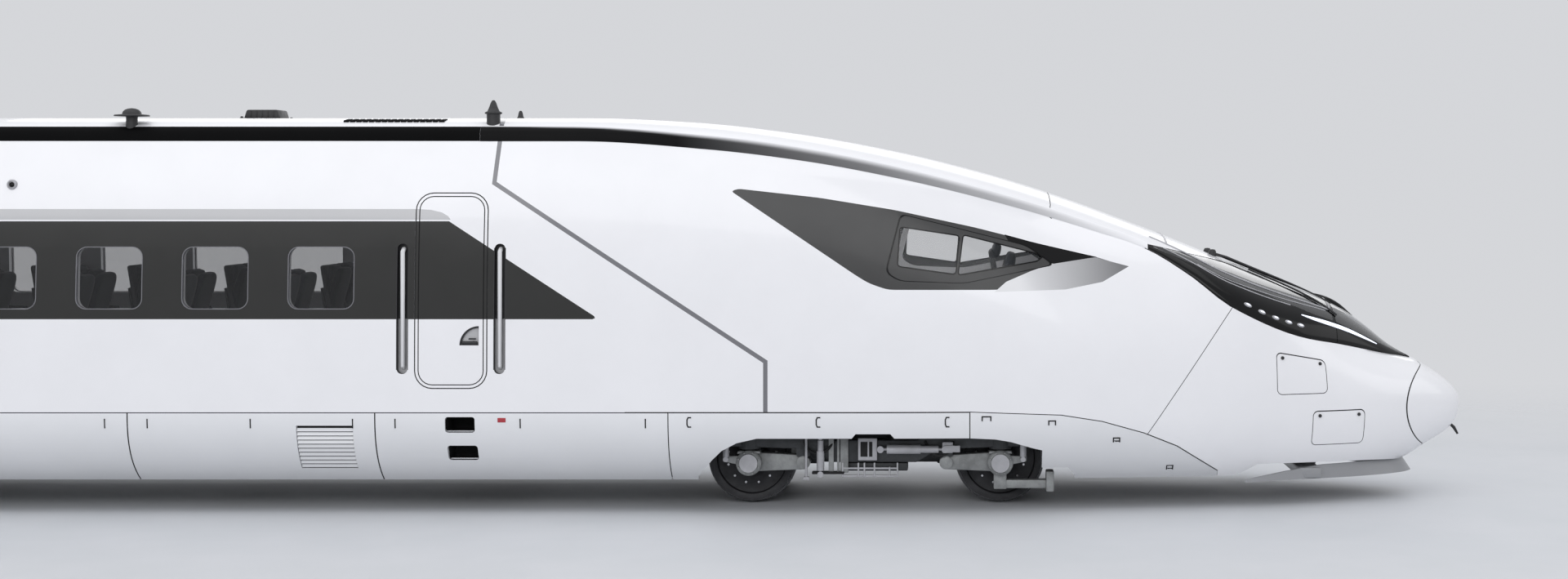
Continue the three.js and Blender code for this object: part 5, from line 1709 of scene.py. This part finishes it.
def saloon_seats(label, side):
    """Thirteen rows of seats on one side, with their frames."""
    cushions, backs, rests, shells, legs = [], [], [], [], []
    for i in range(WINDOW_COUNT):
        x = FIRST_SEAT - WINDOW_PITCH * i
        for y in (side * 585, side * 1095):
            cushions.append(pillow((235, 225, 55), (x + 210, y, 1655), -5, channels=(-0.45, 0.1)))
            backs.append(pillow((330, 222, 48), (x - 18, y, 1990), -74, channels=(-0.5, -0.15, 0.2)))
            rests.append(pillow((95, 160, 36), (x - 58, y, 2232), -76, crown=0.25, cuts=6))
            back_shell = [(x + 20, 1600), (x - 10, 1600), (x - 128, 2310), (x - 100, 2330), (x - 84, 2300),
                          (x + 26, 1690)]
            shells.append(plate(back_shell, y - 236, y + 236, 14))
            tray = [(x - 60, 1760), (x - 84, 1764), (x - 138, 2080), (x - 116, 2084)]
            shells.append(plate(tray, y - 190, y + 190, 8))
        for y in (side * 335, side * 840, side * 1338):
            arm = [(x + 10, 1850), (x + 400, 1830), (x + 410, 1800), (x + 380, 1782), (x + 20, 1790)]
            shells.append(plate(arm, y - 24, y + 24, 10))
            legs.append(tube([(x + 30, y, 1640), (x + 30, y, 1800)], 16, 12))
        pan = [(x - 10, 1585), (x + 440, 1610), (x + 440, 1580), (x, 1550)]
        shells.append(plate(pan, side * 340, side * 1335, 8))
        for foot in (x + 60, x + 340):
            legs.append(tube([(foot, side * 840, FLOOR_TOP + 40),
                              (foot + (40 if foot < x + 200 else -20), side * 840, 1570)], 26, 16))
        legs.append(block(x + 10, side * 700, 1545, x + 420, side * 980, 1575, 8))
    legs.append(block(FIRST_SEAT - (WINDOW_COUNT - 1) * WINDOW_PITCH - 300, side * 780, FLOOR_TOP + 2, 1650,
                      side * 900, FLOOR_TOP + 58, 8))
    named = ((cushions, "seat_cushions", "cloth", 0.6), (backs, "seat_backs", "cloth", 0.6),
             (rests, "head_rests", "rest", 0.5))
    for parts, name, material, fill in named:
        piece = finish_group(f"{name}_{label}", parts, M[material], "car_body",
                             (f"saloon_seats_{label}",) if parts is cushions else (), "seat_cloth", 80)
    finish_group(f"seat_shells_{label}", shells, M["shell"], slot="interior")
    finish_group(f"seat_legs_{label}", legs, M["under"], slot="frame_grey")


def driver_place():
    """The driver's seat, and the desk's screens and levers."""
    x = 8560
    cushion = pillow((220, 235, 62), (x + 130, 0, 1800), -4, channels=(-0.3, 0.3))
    back = pillow((330, 225, 58), (x - 128, 0, 2175), -76, channels=(-0.5, -0.1, 0.3))
    rest = pillow((80, 130, 40), (x - 218, 0, 2500), -78, crown=0.25, cuts=6)
    for part, name, fill in ((cushion, "driver_seat_cushion", 0.6), (back, "driver_seat_back", 0.6),
                             (rest, "driver_head_rest", 0.5)):
        piece = finish_group(name, [part], M["cloth"], "car_body",
                             ("driver_seat",) if part is cushion else (), "seat_cloth", 80)
    frame_parts = [
        plate([(x - 100, 1740), (x + 340, 1760), (x + 340, 1720), (x - 90, 1690)], -220, 220, 12),
        plate([(x - 150, 1760), (x - 180, 1760), (x - 300, 2480), (x - 270, 2520), (x - 240, 2480),
               (x - 130, 1840)],
              -205, 205, 14),
        lathe([(0, 1300), (120, 1300), (130, 1340), (74, 1380), (70, 1700), (0, 1700)], (x + 60, 0, 0), "z",
              32),
        block(x - 230, -255, FLOOR_TOP + 2, x + 200, 255, 1300, 16),
    ]
    for y in (-262, 262):
        frame_parts.append(plate([(x - 120, 1990), (x + 220, 1985), (x + 228, 1958), (x - 110, 1948)],
                                 y - 26, y + 26, 10))
        frame_parts.append(tube([(x - 90, y, 1760), (x - 90, y, 1960)], 18, 12))
    finish_group("driver_seat_frame", frame_parts, M["desk"], slot="desk_black")
    screens = []
    for y in (-560, -190, 190, 560):
        tilted = plate([(9300, 2030), (9330, 2045), (9420, 2205), (9398, 2218)], y - 165, y + 165, 8)
        screens.append(tilted)
    finish_group("cab_desk_screens", screens, M["screen"], slot="black_gloss")
    controls = []
    for y in (-330, 330):
        controls.append(tube([(9300, y, 2040), (9280, y, 2130)], 12, 12))
        controls.append(lathe([(0, 2120), (22, 2124), (28, 2142), (22, 2162), (0, 2166)], (9278, y, 0), "z",
                              20))
    finish_group("cab_desk_levers", controls, M["bright"], slot="frame_grey")


def bellows():
    """The corridor connection: folds round a rounded rectangle, closed by a face frame."""
    half, low, high = 540, 1200.0, 3290.0
    folds, per_fold = 9, 8
    rear, start = GANGWAY_FACE + 22, BODY_REAR - 1
    rows = []
    steps = folds * per_fold
    for i in range(steps + 1):
        share = i / steps
        swell = 62 + 30 * abs(math.sin(math.pi * folds * share)) ** 0.6
        rows.append((start + (rear - start) * share, swell))
    vertices = []
    for inner in (False, True):
        for x, swell in rows:
            grow = 2.0 if inner else swell
            shape = rounded(-half - grow, low - grow, half + grow, high + grow, 90 + grow, 8)
            vertices += [mm(x, y, z) for y, z in shape]
    count, rings = len(shape), len(rows)
    faces = ring_faces(rings, count)
    faces += [face[::-1] for face in ring_faces(rings, count, rings * count)]
    for end in (0, rings - 1):
        for j in range(count):
            k = (j + 1) % count
            a, b = end * count + j, end * count + k
            c, d = (rings + end) * count + k, (rings + end) * count + j
            faces.append((a, b, c, d) if end else (d, c, b, a))
    folded = bevelled(mesh_object("bellows", vertices, faces), 0)
    finish_group("gangway_bellows_folds", [folded], M["rubber"], "car_body", ("gangway_bellows",), "rubber",
                 60)
    ring = frame_ring(half + 92, low - 92, high + 92, 180, half, low, high, 88, GANGWAY_FACE,
                      GANGWAY_FACE + 24)
    finish_group("gangway_face_frame", [ring], M["under"], slot="frame_grey")


def frame_ring(half, low, high, corner, hole_half, hole_low, hole_high, hole_corner, x0, x1):
    """A flat ring in the plane across the car."""
    outer = rounded(-half, low, half, high, corner, 8)
    inner = rounded(-hole_half, hole_low, hole_half, hole_high, hole_corner, 8)
    count = len(outer)
    vertices = [mm(x, y, z) for x in (x0, x1) for shape in (outer, inner) for y, z in shape]
    faces = []
    for j in range(count):
        k = (j + 1) % count
        a, b, c, d = 0, count, 2 * count, 3 * count
        faces += [(a + j, a + k, b + k, b + j), (c + k, c + j, d + j, d + k), (a + k, a + j, c + j, c + k),
                  (b + j, b + k, d + k, d + j)]
    return bevelled(mesh_object("ring", vertices, faces), 6)


# ------------------------------------------------------------------ ends, floor and under it
COUPLER_HEIGHT = 890


def rear_end():
    """The bellows, handrails, step bars, jumper sockets and coupler on the rear end wall."""
    bellows()
    x = BODY_REAR - 2
    parts = []
    for side in (-1, 1):
        rail = [(x, 1500), (x - 55, 1530), (x - 55, 2700), (x, 2730)]
        parts.append(tube([(px, side * 1330, z) for px, z in rail], 14, 12))
        for z in range(1400, 3201, 300):
            step = [(x, 930), (x - 60, 930), (x - 60, 1150), (x, 1150)]
            parts.append(tube([(px, side * y, z) for px, y in step], 11, 10))
    finish_group("rear_end_handrails", parts, M["bright"], slot="frame_grey")
    sockets = []
    for side in (-1, 1):
        for i, z in enumerate((1280, 1120)):
            y = side * (1000 - 130 * i)
            sockets.append(block(x - 60, y - 80, z - 50, x + 2, y + 80, z + 50, 10))
            sockets.append(lathe([(0, 0), (44, 0), (44, -46), (36, -52), (0, -52)], (x - 58, y, z), "x", 24))
        sockets.append(lathe([(0, 0), (46, 0), (46, -70), (0, -70)], (x + 20, side * 330, 1010), "x", 20))
    finish_group("rear_jumper_sockets", sockets, M["dark_plastic"], slot="black_gloss")
    bar = [(0, 0), (95, 0), (95, -560), (84, -566), (84, -720), (150, -740), (150, -792), (190, -800),
           (190, -840),
           (190, -850), (0, -850)]
    draft = [block(-12420, -220, 740, -12150, 220, 1053, 18),
             lathe(bar, (-12300, 0, COUPLER_HEIGHT), "x", 48)]
    head = [(0, 0), (20, 0), (20, 14), (16, 18), (0, 18)]
    for k in range(8):
        a = math.radians(45 * k + 22.5)
        draft.append(lathe(head, (-13140, 165 * math.cos(a), COUPLER_HEIGHT + 165 * math.sin(a)), "x", 6))
    finish_group("rear_coupler_parts", draft, M["bogie"], "car_body", ("rear_coupler",), "frame_grey")


UNDERFLOOR = ((-8200, -5600, 1180, 330), (-5300, -2400, 1120, 300), (-2100, 400, 1180, 330),
              (700, 2700, 1000, 380),
              (3450, 4900, 1100, 330))


def underfloor():
    """Equipment boxes with their covers, bolts and pipes."""
    boxes, fittings = [block(-8300, -700, 940, 5000, 700, 1053, 10)], []
    for rear, front, half, low in UNDERFLOOR:
        boxes.append(block(rear, -half, low, front, half, 948, 26, 3))
        count = max(2, round((front - rear) / 420))
        step = (front - rear) / count
        for i in range(count):
            x0, x1 = rear + i * step + 22, rear + (i + 1) * step - 22
            for side in (-1, 1):
                y = side * half
                fittings.append(block(x0, y - side * 4, low + 60, x1, y + side * 12, 880, 8))
                for x in (x0 + 40, x1 - 40):
                    for z in (low + 92, 848):
                        fittings.append(bolt(x, y + side * 12, z, side, 13, 9))
            fittings.append(block(x0, -half + 80, low - 8, x1, half - 80, low + 4, 6))
    finish_group("underfloor_boxes", boxes, M["under"], "car_body", ("underfloor_equipment",), "frame_grey")
    finish_group("underfloor_covers", fittings, M["box"], slot="frame_grey")
    pipes = []
    for y, radius in ((-760, 24), (-830, 18), (760, 24), (830, 30)):
        pipes.append(tube([(-12300, y, 985), (6000, y, 985)], radius, 12))
    finish_group("underfloor_pipes", pipes, M["bogie"], slot="frame_grey")


def front_coupling():
    """The coupler behind the nose covers."""
    bar = [(0, 0), (90, 0), (90, 420), (104, 440), (104, 520), (90, 540), (90, 820), (0, 820)]
    parts = [block(11500.5, -230, 700, 11620, 230, 1060, 14),
             lathe(bar, (11600, 0, COUPLER_HEIGHT), "x", 40),
             block(12400, -170, 720, 12700, 170, 1040, 22, 3)]
    finish_group("front_coupler_body", parts, M["bogie"], "car_body", ("front_coupler",), "frame_grey")
    plates = [lathe([(0, 0), (74, 0), (60, 3), (0, 3)], (12697, 60, 900), "x", 32),
              lathe([(0, 0), (46, 0), (40, 3), (0, 3)], (12697, -80, 900), "x", 32)]
    for k in range(10):
        y = -135 + 30 * k
        plates.append(lathe([(0, 0), (8, 0), (7, 3), (0, 3)], (12697, y, 762), "x", 12))
    finish_group("front_coupler_face_plates", plates, M["bright"], slot="frame_grey")


def chin():
    """The plough under the nose: a long wedge that tapers to the rear, with a slanting front facet."""
    tip, rear = 12690, 10830
    rows = []
    for t in np.linspace(-1, 1, 41):
        x = tip - (tip - 11240) * abs(t) ** 1.8
        rows.append((x, t * 930))
    for side in (-1, 1):
        rows.append((rear, side * 1140))
    rows.sort(key=lambda row: row[1])
    vertices, count = [], len(rows)
    for x, y in rows:
        share = max(0.0, (x - rear) / (tip - rear))
        low, high = 230 - 22 * share, 262 + 96 * min(1.0, share * 2.2)
        lean = 100 * share
        for dx, z in ((0, low), (-lean, high), (-lean - 34, high), (-40, low)):
            vertices.append(mm(x + dx, y, z))
    faces = ring_faces(count, 4) + [(3, 2, 1, 0), tuple(4 * (count - 1) + j for j in range(4))]
    plough = bevelled(mesh_object("plough", vertices, faces), 0)
    posts = [block(11480, side * 500 - 60, 330, 11600, side * 500 + 60, 850, 12) for side in (-1, 1)]
    beam = block(11380, -860, 236, 11600, 860, 336, 12)
    finish_group("chin_plough", [plough, beam] + posts, M["chin"], "car_body", ("chin_deflector",),
                 "frame_grey")


def painted_seam_shadows():
    """Painted shadow: dark ribbons just under the gaps between the outer panels, so that the gaps look dark.
    """
    belt = prism(rectangle(BODY_REAR, WAIST - 12, SKIRT_JOINTS[3] + 40, WAIST + 4))
    cowl = prism(strip([(7990, WAIST - 2)] + list(COWL_LINE[:-1]), 16))
    (top_x, top_z), (low_x, low_z) = NOSE_SEAM
    nose_line = prism(strip([(top_x, top_z), (low_x, low_z)], 16))
    joints = [prism(rectangle(x - 9, SKIRT_BOTTOM + 30, x + 9, WAIST)) for x in SKIRT_JOINTS[1:]]
    joints.append(prism(strip(cover_arc(-8.5), 14)))
    rim = prism(strip([(NOSE_X - u, crease_height(u)) for u in np.linspace(RIDGE_END, MASK_END, 40)], 16))
    parts = []
    for cutter in [belt, cowl, nose_line, rim] + joints:
        parts.append(combine(layer("liner", 2, 14), cutter, "INTERSECT"))
    for part in parts:
        for where in BOGIE_X:
            for _, side in SIDES:
                combine(part, side_prism(bogie_opening(where), side), "DIFFERENCE")
    dress(joined_coat("painted_seam_shadows", parts, M["groove"]), "car_body", slot="rubber")


# ------------------------------------------------------------------ small outside parts
def latch_loop(x, z, side, width, height, shape):
    """A thin dark recess outline on the skin: a C, a low arch or a slot."""
    if shape == "c":
        path = [(width / 2, height / 2), (-width / 4, height / 2), (-width / 2, height / 4),
                (-width / 2, -height / 4),
                (-width / 4, -height / 2), (width / 2, -height / 2)]
    elif shape == "arch":
        path = [(-width / 2, -height / 2), (-width / 2, height / 2), (width / 2, height / 2),
                (width / 2, -height / 2)]
    else:
        path = [(0, -height / 2), (0, height / 2)]
    points = [surface_point(x + dx, z + dz, side, 0) for dx, dz in path]
    return tube(points, 6.5, 8)


def outside_fittings():
    """Skirt latches, the blank plate, side cameras and the spike under the nose tip."""
    for label, side in SIDES:
        marks = []
        for x in (5326, 6583, 7839):
            marks.append(latch_loop(x, 878, side, 40, 92, "c"))
        for x, z, width in ((8220, 907, 84), (8862, 860, 66), (9499, 682, 62), (10044, 383, 60)):
            marks.append(latch_loop(x, z, side, width, 42, "arch"))
        for x, z in ((9499, 672), (10044, 373)):
            marks.append(latch_loop(x + 6, z, side, 44, 0.1, "arch"))
        for x in (-360, 54, 1057, 2052, 2466, 3683, 4901):
            marks.append(latch_loop(x, 867, side, 0, 92, "slot"))
        for x in (-12200, -11000, -9600, -7700, -6400, -4900, -3300, -1900):
            marks.append(latch_loop(x, 867, side, 0, 92, "slot"))
        finish_group(f"skirt_latches_{label}", marks, M["groove"], slot="black_gloss", angle=60)
        y = side * (surface_half_width(FULL_SECTION, 900) + 1)
        plate_part = block(3463, y - side * 4, 878, 3542, y + side * 2, 922, 2)
        finish_group(f"blank_plate_{label}", [plate_part], M["red"], slot="skirt_white")
        cx, cz = -1301, 3191
        cy = side * surface_half_width(FULL_SECTION, cz)
        housing = lathe([(0, -20 * side), (50, -20 * side), (50, 10 * side), (44, 18 * side),
                         (34, 20 * side), (30, 12 * side),
                         (0, 12 * side)], (cx, cy, cz), "y", 36)
        finish_group(f"side_camera_housing_{label}", [housing], M["damper"], slot="frame_grey")
        eye = lathe([(0, 4 * side), (28, 4 * side), (24, 17 * side), (12, 24 * side), (0, 26 * side)],
                    (cx, cy, cz), "y", 28)
        finish_group(f"side_camera_lens_{label}", [eye], M["black"], slot="black_gloss")
    pin = [tube([(13120, 0, 668), (13150, 0, 640), (13190, 0, 572)], [15, 17, 11], 16)]
    finish_group("nose_tip_spike", pin, M["dark_plastic"], slot="black_gloss")


def screen_surface(u, y, out=0.0):
    """A point over the roof, bonnet or windscreen at u and half width y."""
    width, r = min(crease_half_width(u), 0.97 * half_width(u)), roof_power(u)
    share = (1 - min(1.0, abs(y) / width) ** r) ** (1 / r)
    shoulder = min(crease_height(u), top_height(u) - 2)
    z = shoulder + (top_height(u) - shoulder) * share
    return (NOSE_X - u + out * 0.35, y, z + out)


def over_screen(u, share, out=0.0):
    """A point over the windscreen at a share of the way from its middle to its edge."""
    return screen_surface(u, share * crease_half_width(u), out)


def front_fittings():
    """Lamps, windscreen seals, wipers and the bulge at the screen's foot; the seals' light grey also paints
    highlight streaks on the glass.
    """
    lamps, cups, streaks = [], [], []
    for _, side in SIDES:
        for u, share in ((2370, 0.978), (2225, 0.98), (2080, 0.98), (1940, 0.978), (1810, 0.975)):
            p = Vector(over_screen(u, side * share))
            q = Vector(over_screen(u - 46, side * share))
            across = Vector(over_screen(u, side * share * 0.985)) - p
            out = (q - p).cross(across).normalized()
            if out.y * side < 0:
                out = -out
            lamps.append(lens(p + out * 3, q - p, out, 34, 13))
            cups.append(lens(p + out * 1, q - p, out, 44, 21))
        path = []
        for u in np.linspace(1790, 930, 14):
            path.append(over_screen(u, side * np.interp(u, (930, 1790), (0.93, 0.9)), 2))
        streaks.append(tube(path, [4, 10, 15, 18, 20, 20, 20, 19, 18, 16, 14, 11, 8, 4], 10))
    finish_group("side_lamp_cups", cups, M["damper"], slot="black_gloss", angle=60)
    finish_group("side_lamp_lenses", lamps, M["lamp"], slot="glass", angle=60)
    finish_group("headlamp_strips", streaks, M["lamp"], slot="glass", angle=60)
    seals = []
    for _, side in SIDES:
        for start, end, s0, s1, radius in ((3330, 1440, 0.80, 0.66, 9), (3200, 1900, 0.92, 0.83, 6),
                                           (2860, 1500, 0.88, 0.72, 5)):
            path = []
            for t in np.linspace(0, 1, 22):
                u = start + (end - start) * t
                path.append(over_screen(u, side * (s0 + (s1 - s0) * t), 1))
            seals.append(tube(path, radius, 8))
    for u in (1440, 3150):
        share = 0.66 if u < 2000 else 0.8
        path = [over_screen(u, across * share, 1) for across in np.linspace(-1, 1, 25)]
        seals.append(tube(path, 9, 8))
    # light grey seals: trim lines that also stand in for the highlight streaks on the glass, a painted
    # highlight
    finish_group("windscreen_seals_painted_highlights", seals, M["damper"], slot="rubber", angle=60)
    wipers = []
    for side in (-1, 1):
        pivot = screen_surface(2620, side * 210, 16)
        path = [pivot] + [screen_surface(u, side * (210 + (2620 - u) * 0.13), 34)
                          for u in np.linspace(2480, 1420, 9)]
        wipers.append(tube(path, [18, 15, 14, 13, 12, 11, 10, 9, 8, 7], 10))
        blade = [screen_surface(u, side * (300 + (2300 - u) * 0.22), 14) for u in np.linspace(2260, 1380, 14)]
        wipers.append(tube(blade, 10, 8))
        wipers.append(lathe([(0, -30), (40, -30), (40, 18), (28, 40), (0, 44)], pivot, "z", 24))
    finish_group("windscreen_wipers", wipers, M["dark_plastic"], slot="rubber", angle=60)
    bulge = []
    for u in np.linspace(1560, 1120, 10):
        bulge.append(screen_surface(u, 0, 0))
    radii = [8, 30, 44, 52, 54, 50, 42, 30, 16, 6]
    finish_group("screen_foot_bulge", [tube([(x, y, z - r * 0.35) for (x, y, z), r in zip(bulge, radii)],
                                            radii, 28)],
                 M["black"], "car_body", slot="black_gloss", angle=60)


def lens(centre, along, out, length, width):
    """A shallow lens lying on the skin: an oval dome."""
    along = along.normalized()
    across = out.cross(along).normalized()
    rings, count = ((1.0, -4), (1.0, 0), (0.86, 5), (0.6, 9), (0.3, 11)), 28
    vertices = [mm(*(centre + along * (length * r * math.cos(a)) + across * (width * r * math.sin(a))
                     + out * h))
                for r, h in rings for a in np.linspace(0, 2 * math.pi, count, endpoint=False)]
    faces = [tuple(range(count))[::-1], tuple((len(rings) - 1) * count + j for j in range(count))]
    faces += ring_faces(len(rings), count)
    return bevelled(mesh_object("lens", vertices, faces), 0)


def finish_cad_nodes():
    """Materials for the CAD nodes that stay as they are."""
    finishes = {
        "underframe": "under", "rear_end_wall": "white", "gangway_door": "interior",
        "saloon_partition": "interior", "cab_bulkhead": "interior", "cab_desk": "desk",
        "front_bolster": "under", "rear_bolster": "under",
    }
    for name, item in CAD.items():
        material = M[finishes.get(name, "bogie")]
        if not item.data.materials:
            item.data.materials.append(material)
        for slot in item.material_slots:
            slot.link = "OBJECT"
            slot.material = material


# ------------------------------------------------------------------ whole car
make_camera()
make_studio()
for where in BOGIE_X:
    bogie(where)
for label, side in SIDES:
    saloon_side(label, side)
    saloon_seats(label, side)
cab_module()
nose()
skirts()
roof()
painted_shade_strips()
painted_seam_shadows()
remove(*FORMS.values())
driver_place()
rear_end()
underfloor()
front_coupling()
chin()
outside_fittings()
front_fittings()
finish_cad_nodes()

floor = mesh_object("floor", [(-90, -60, -0.002), (110, -60, -0.002), (110, 60, -0.002), (-90, 60, -0.002)],
                    [(0, 1, 2, 3)])
coat(floor, M["floor"])
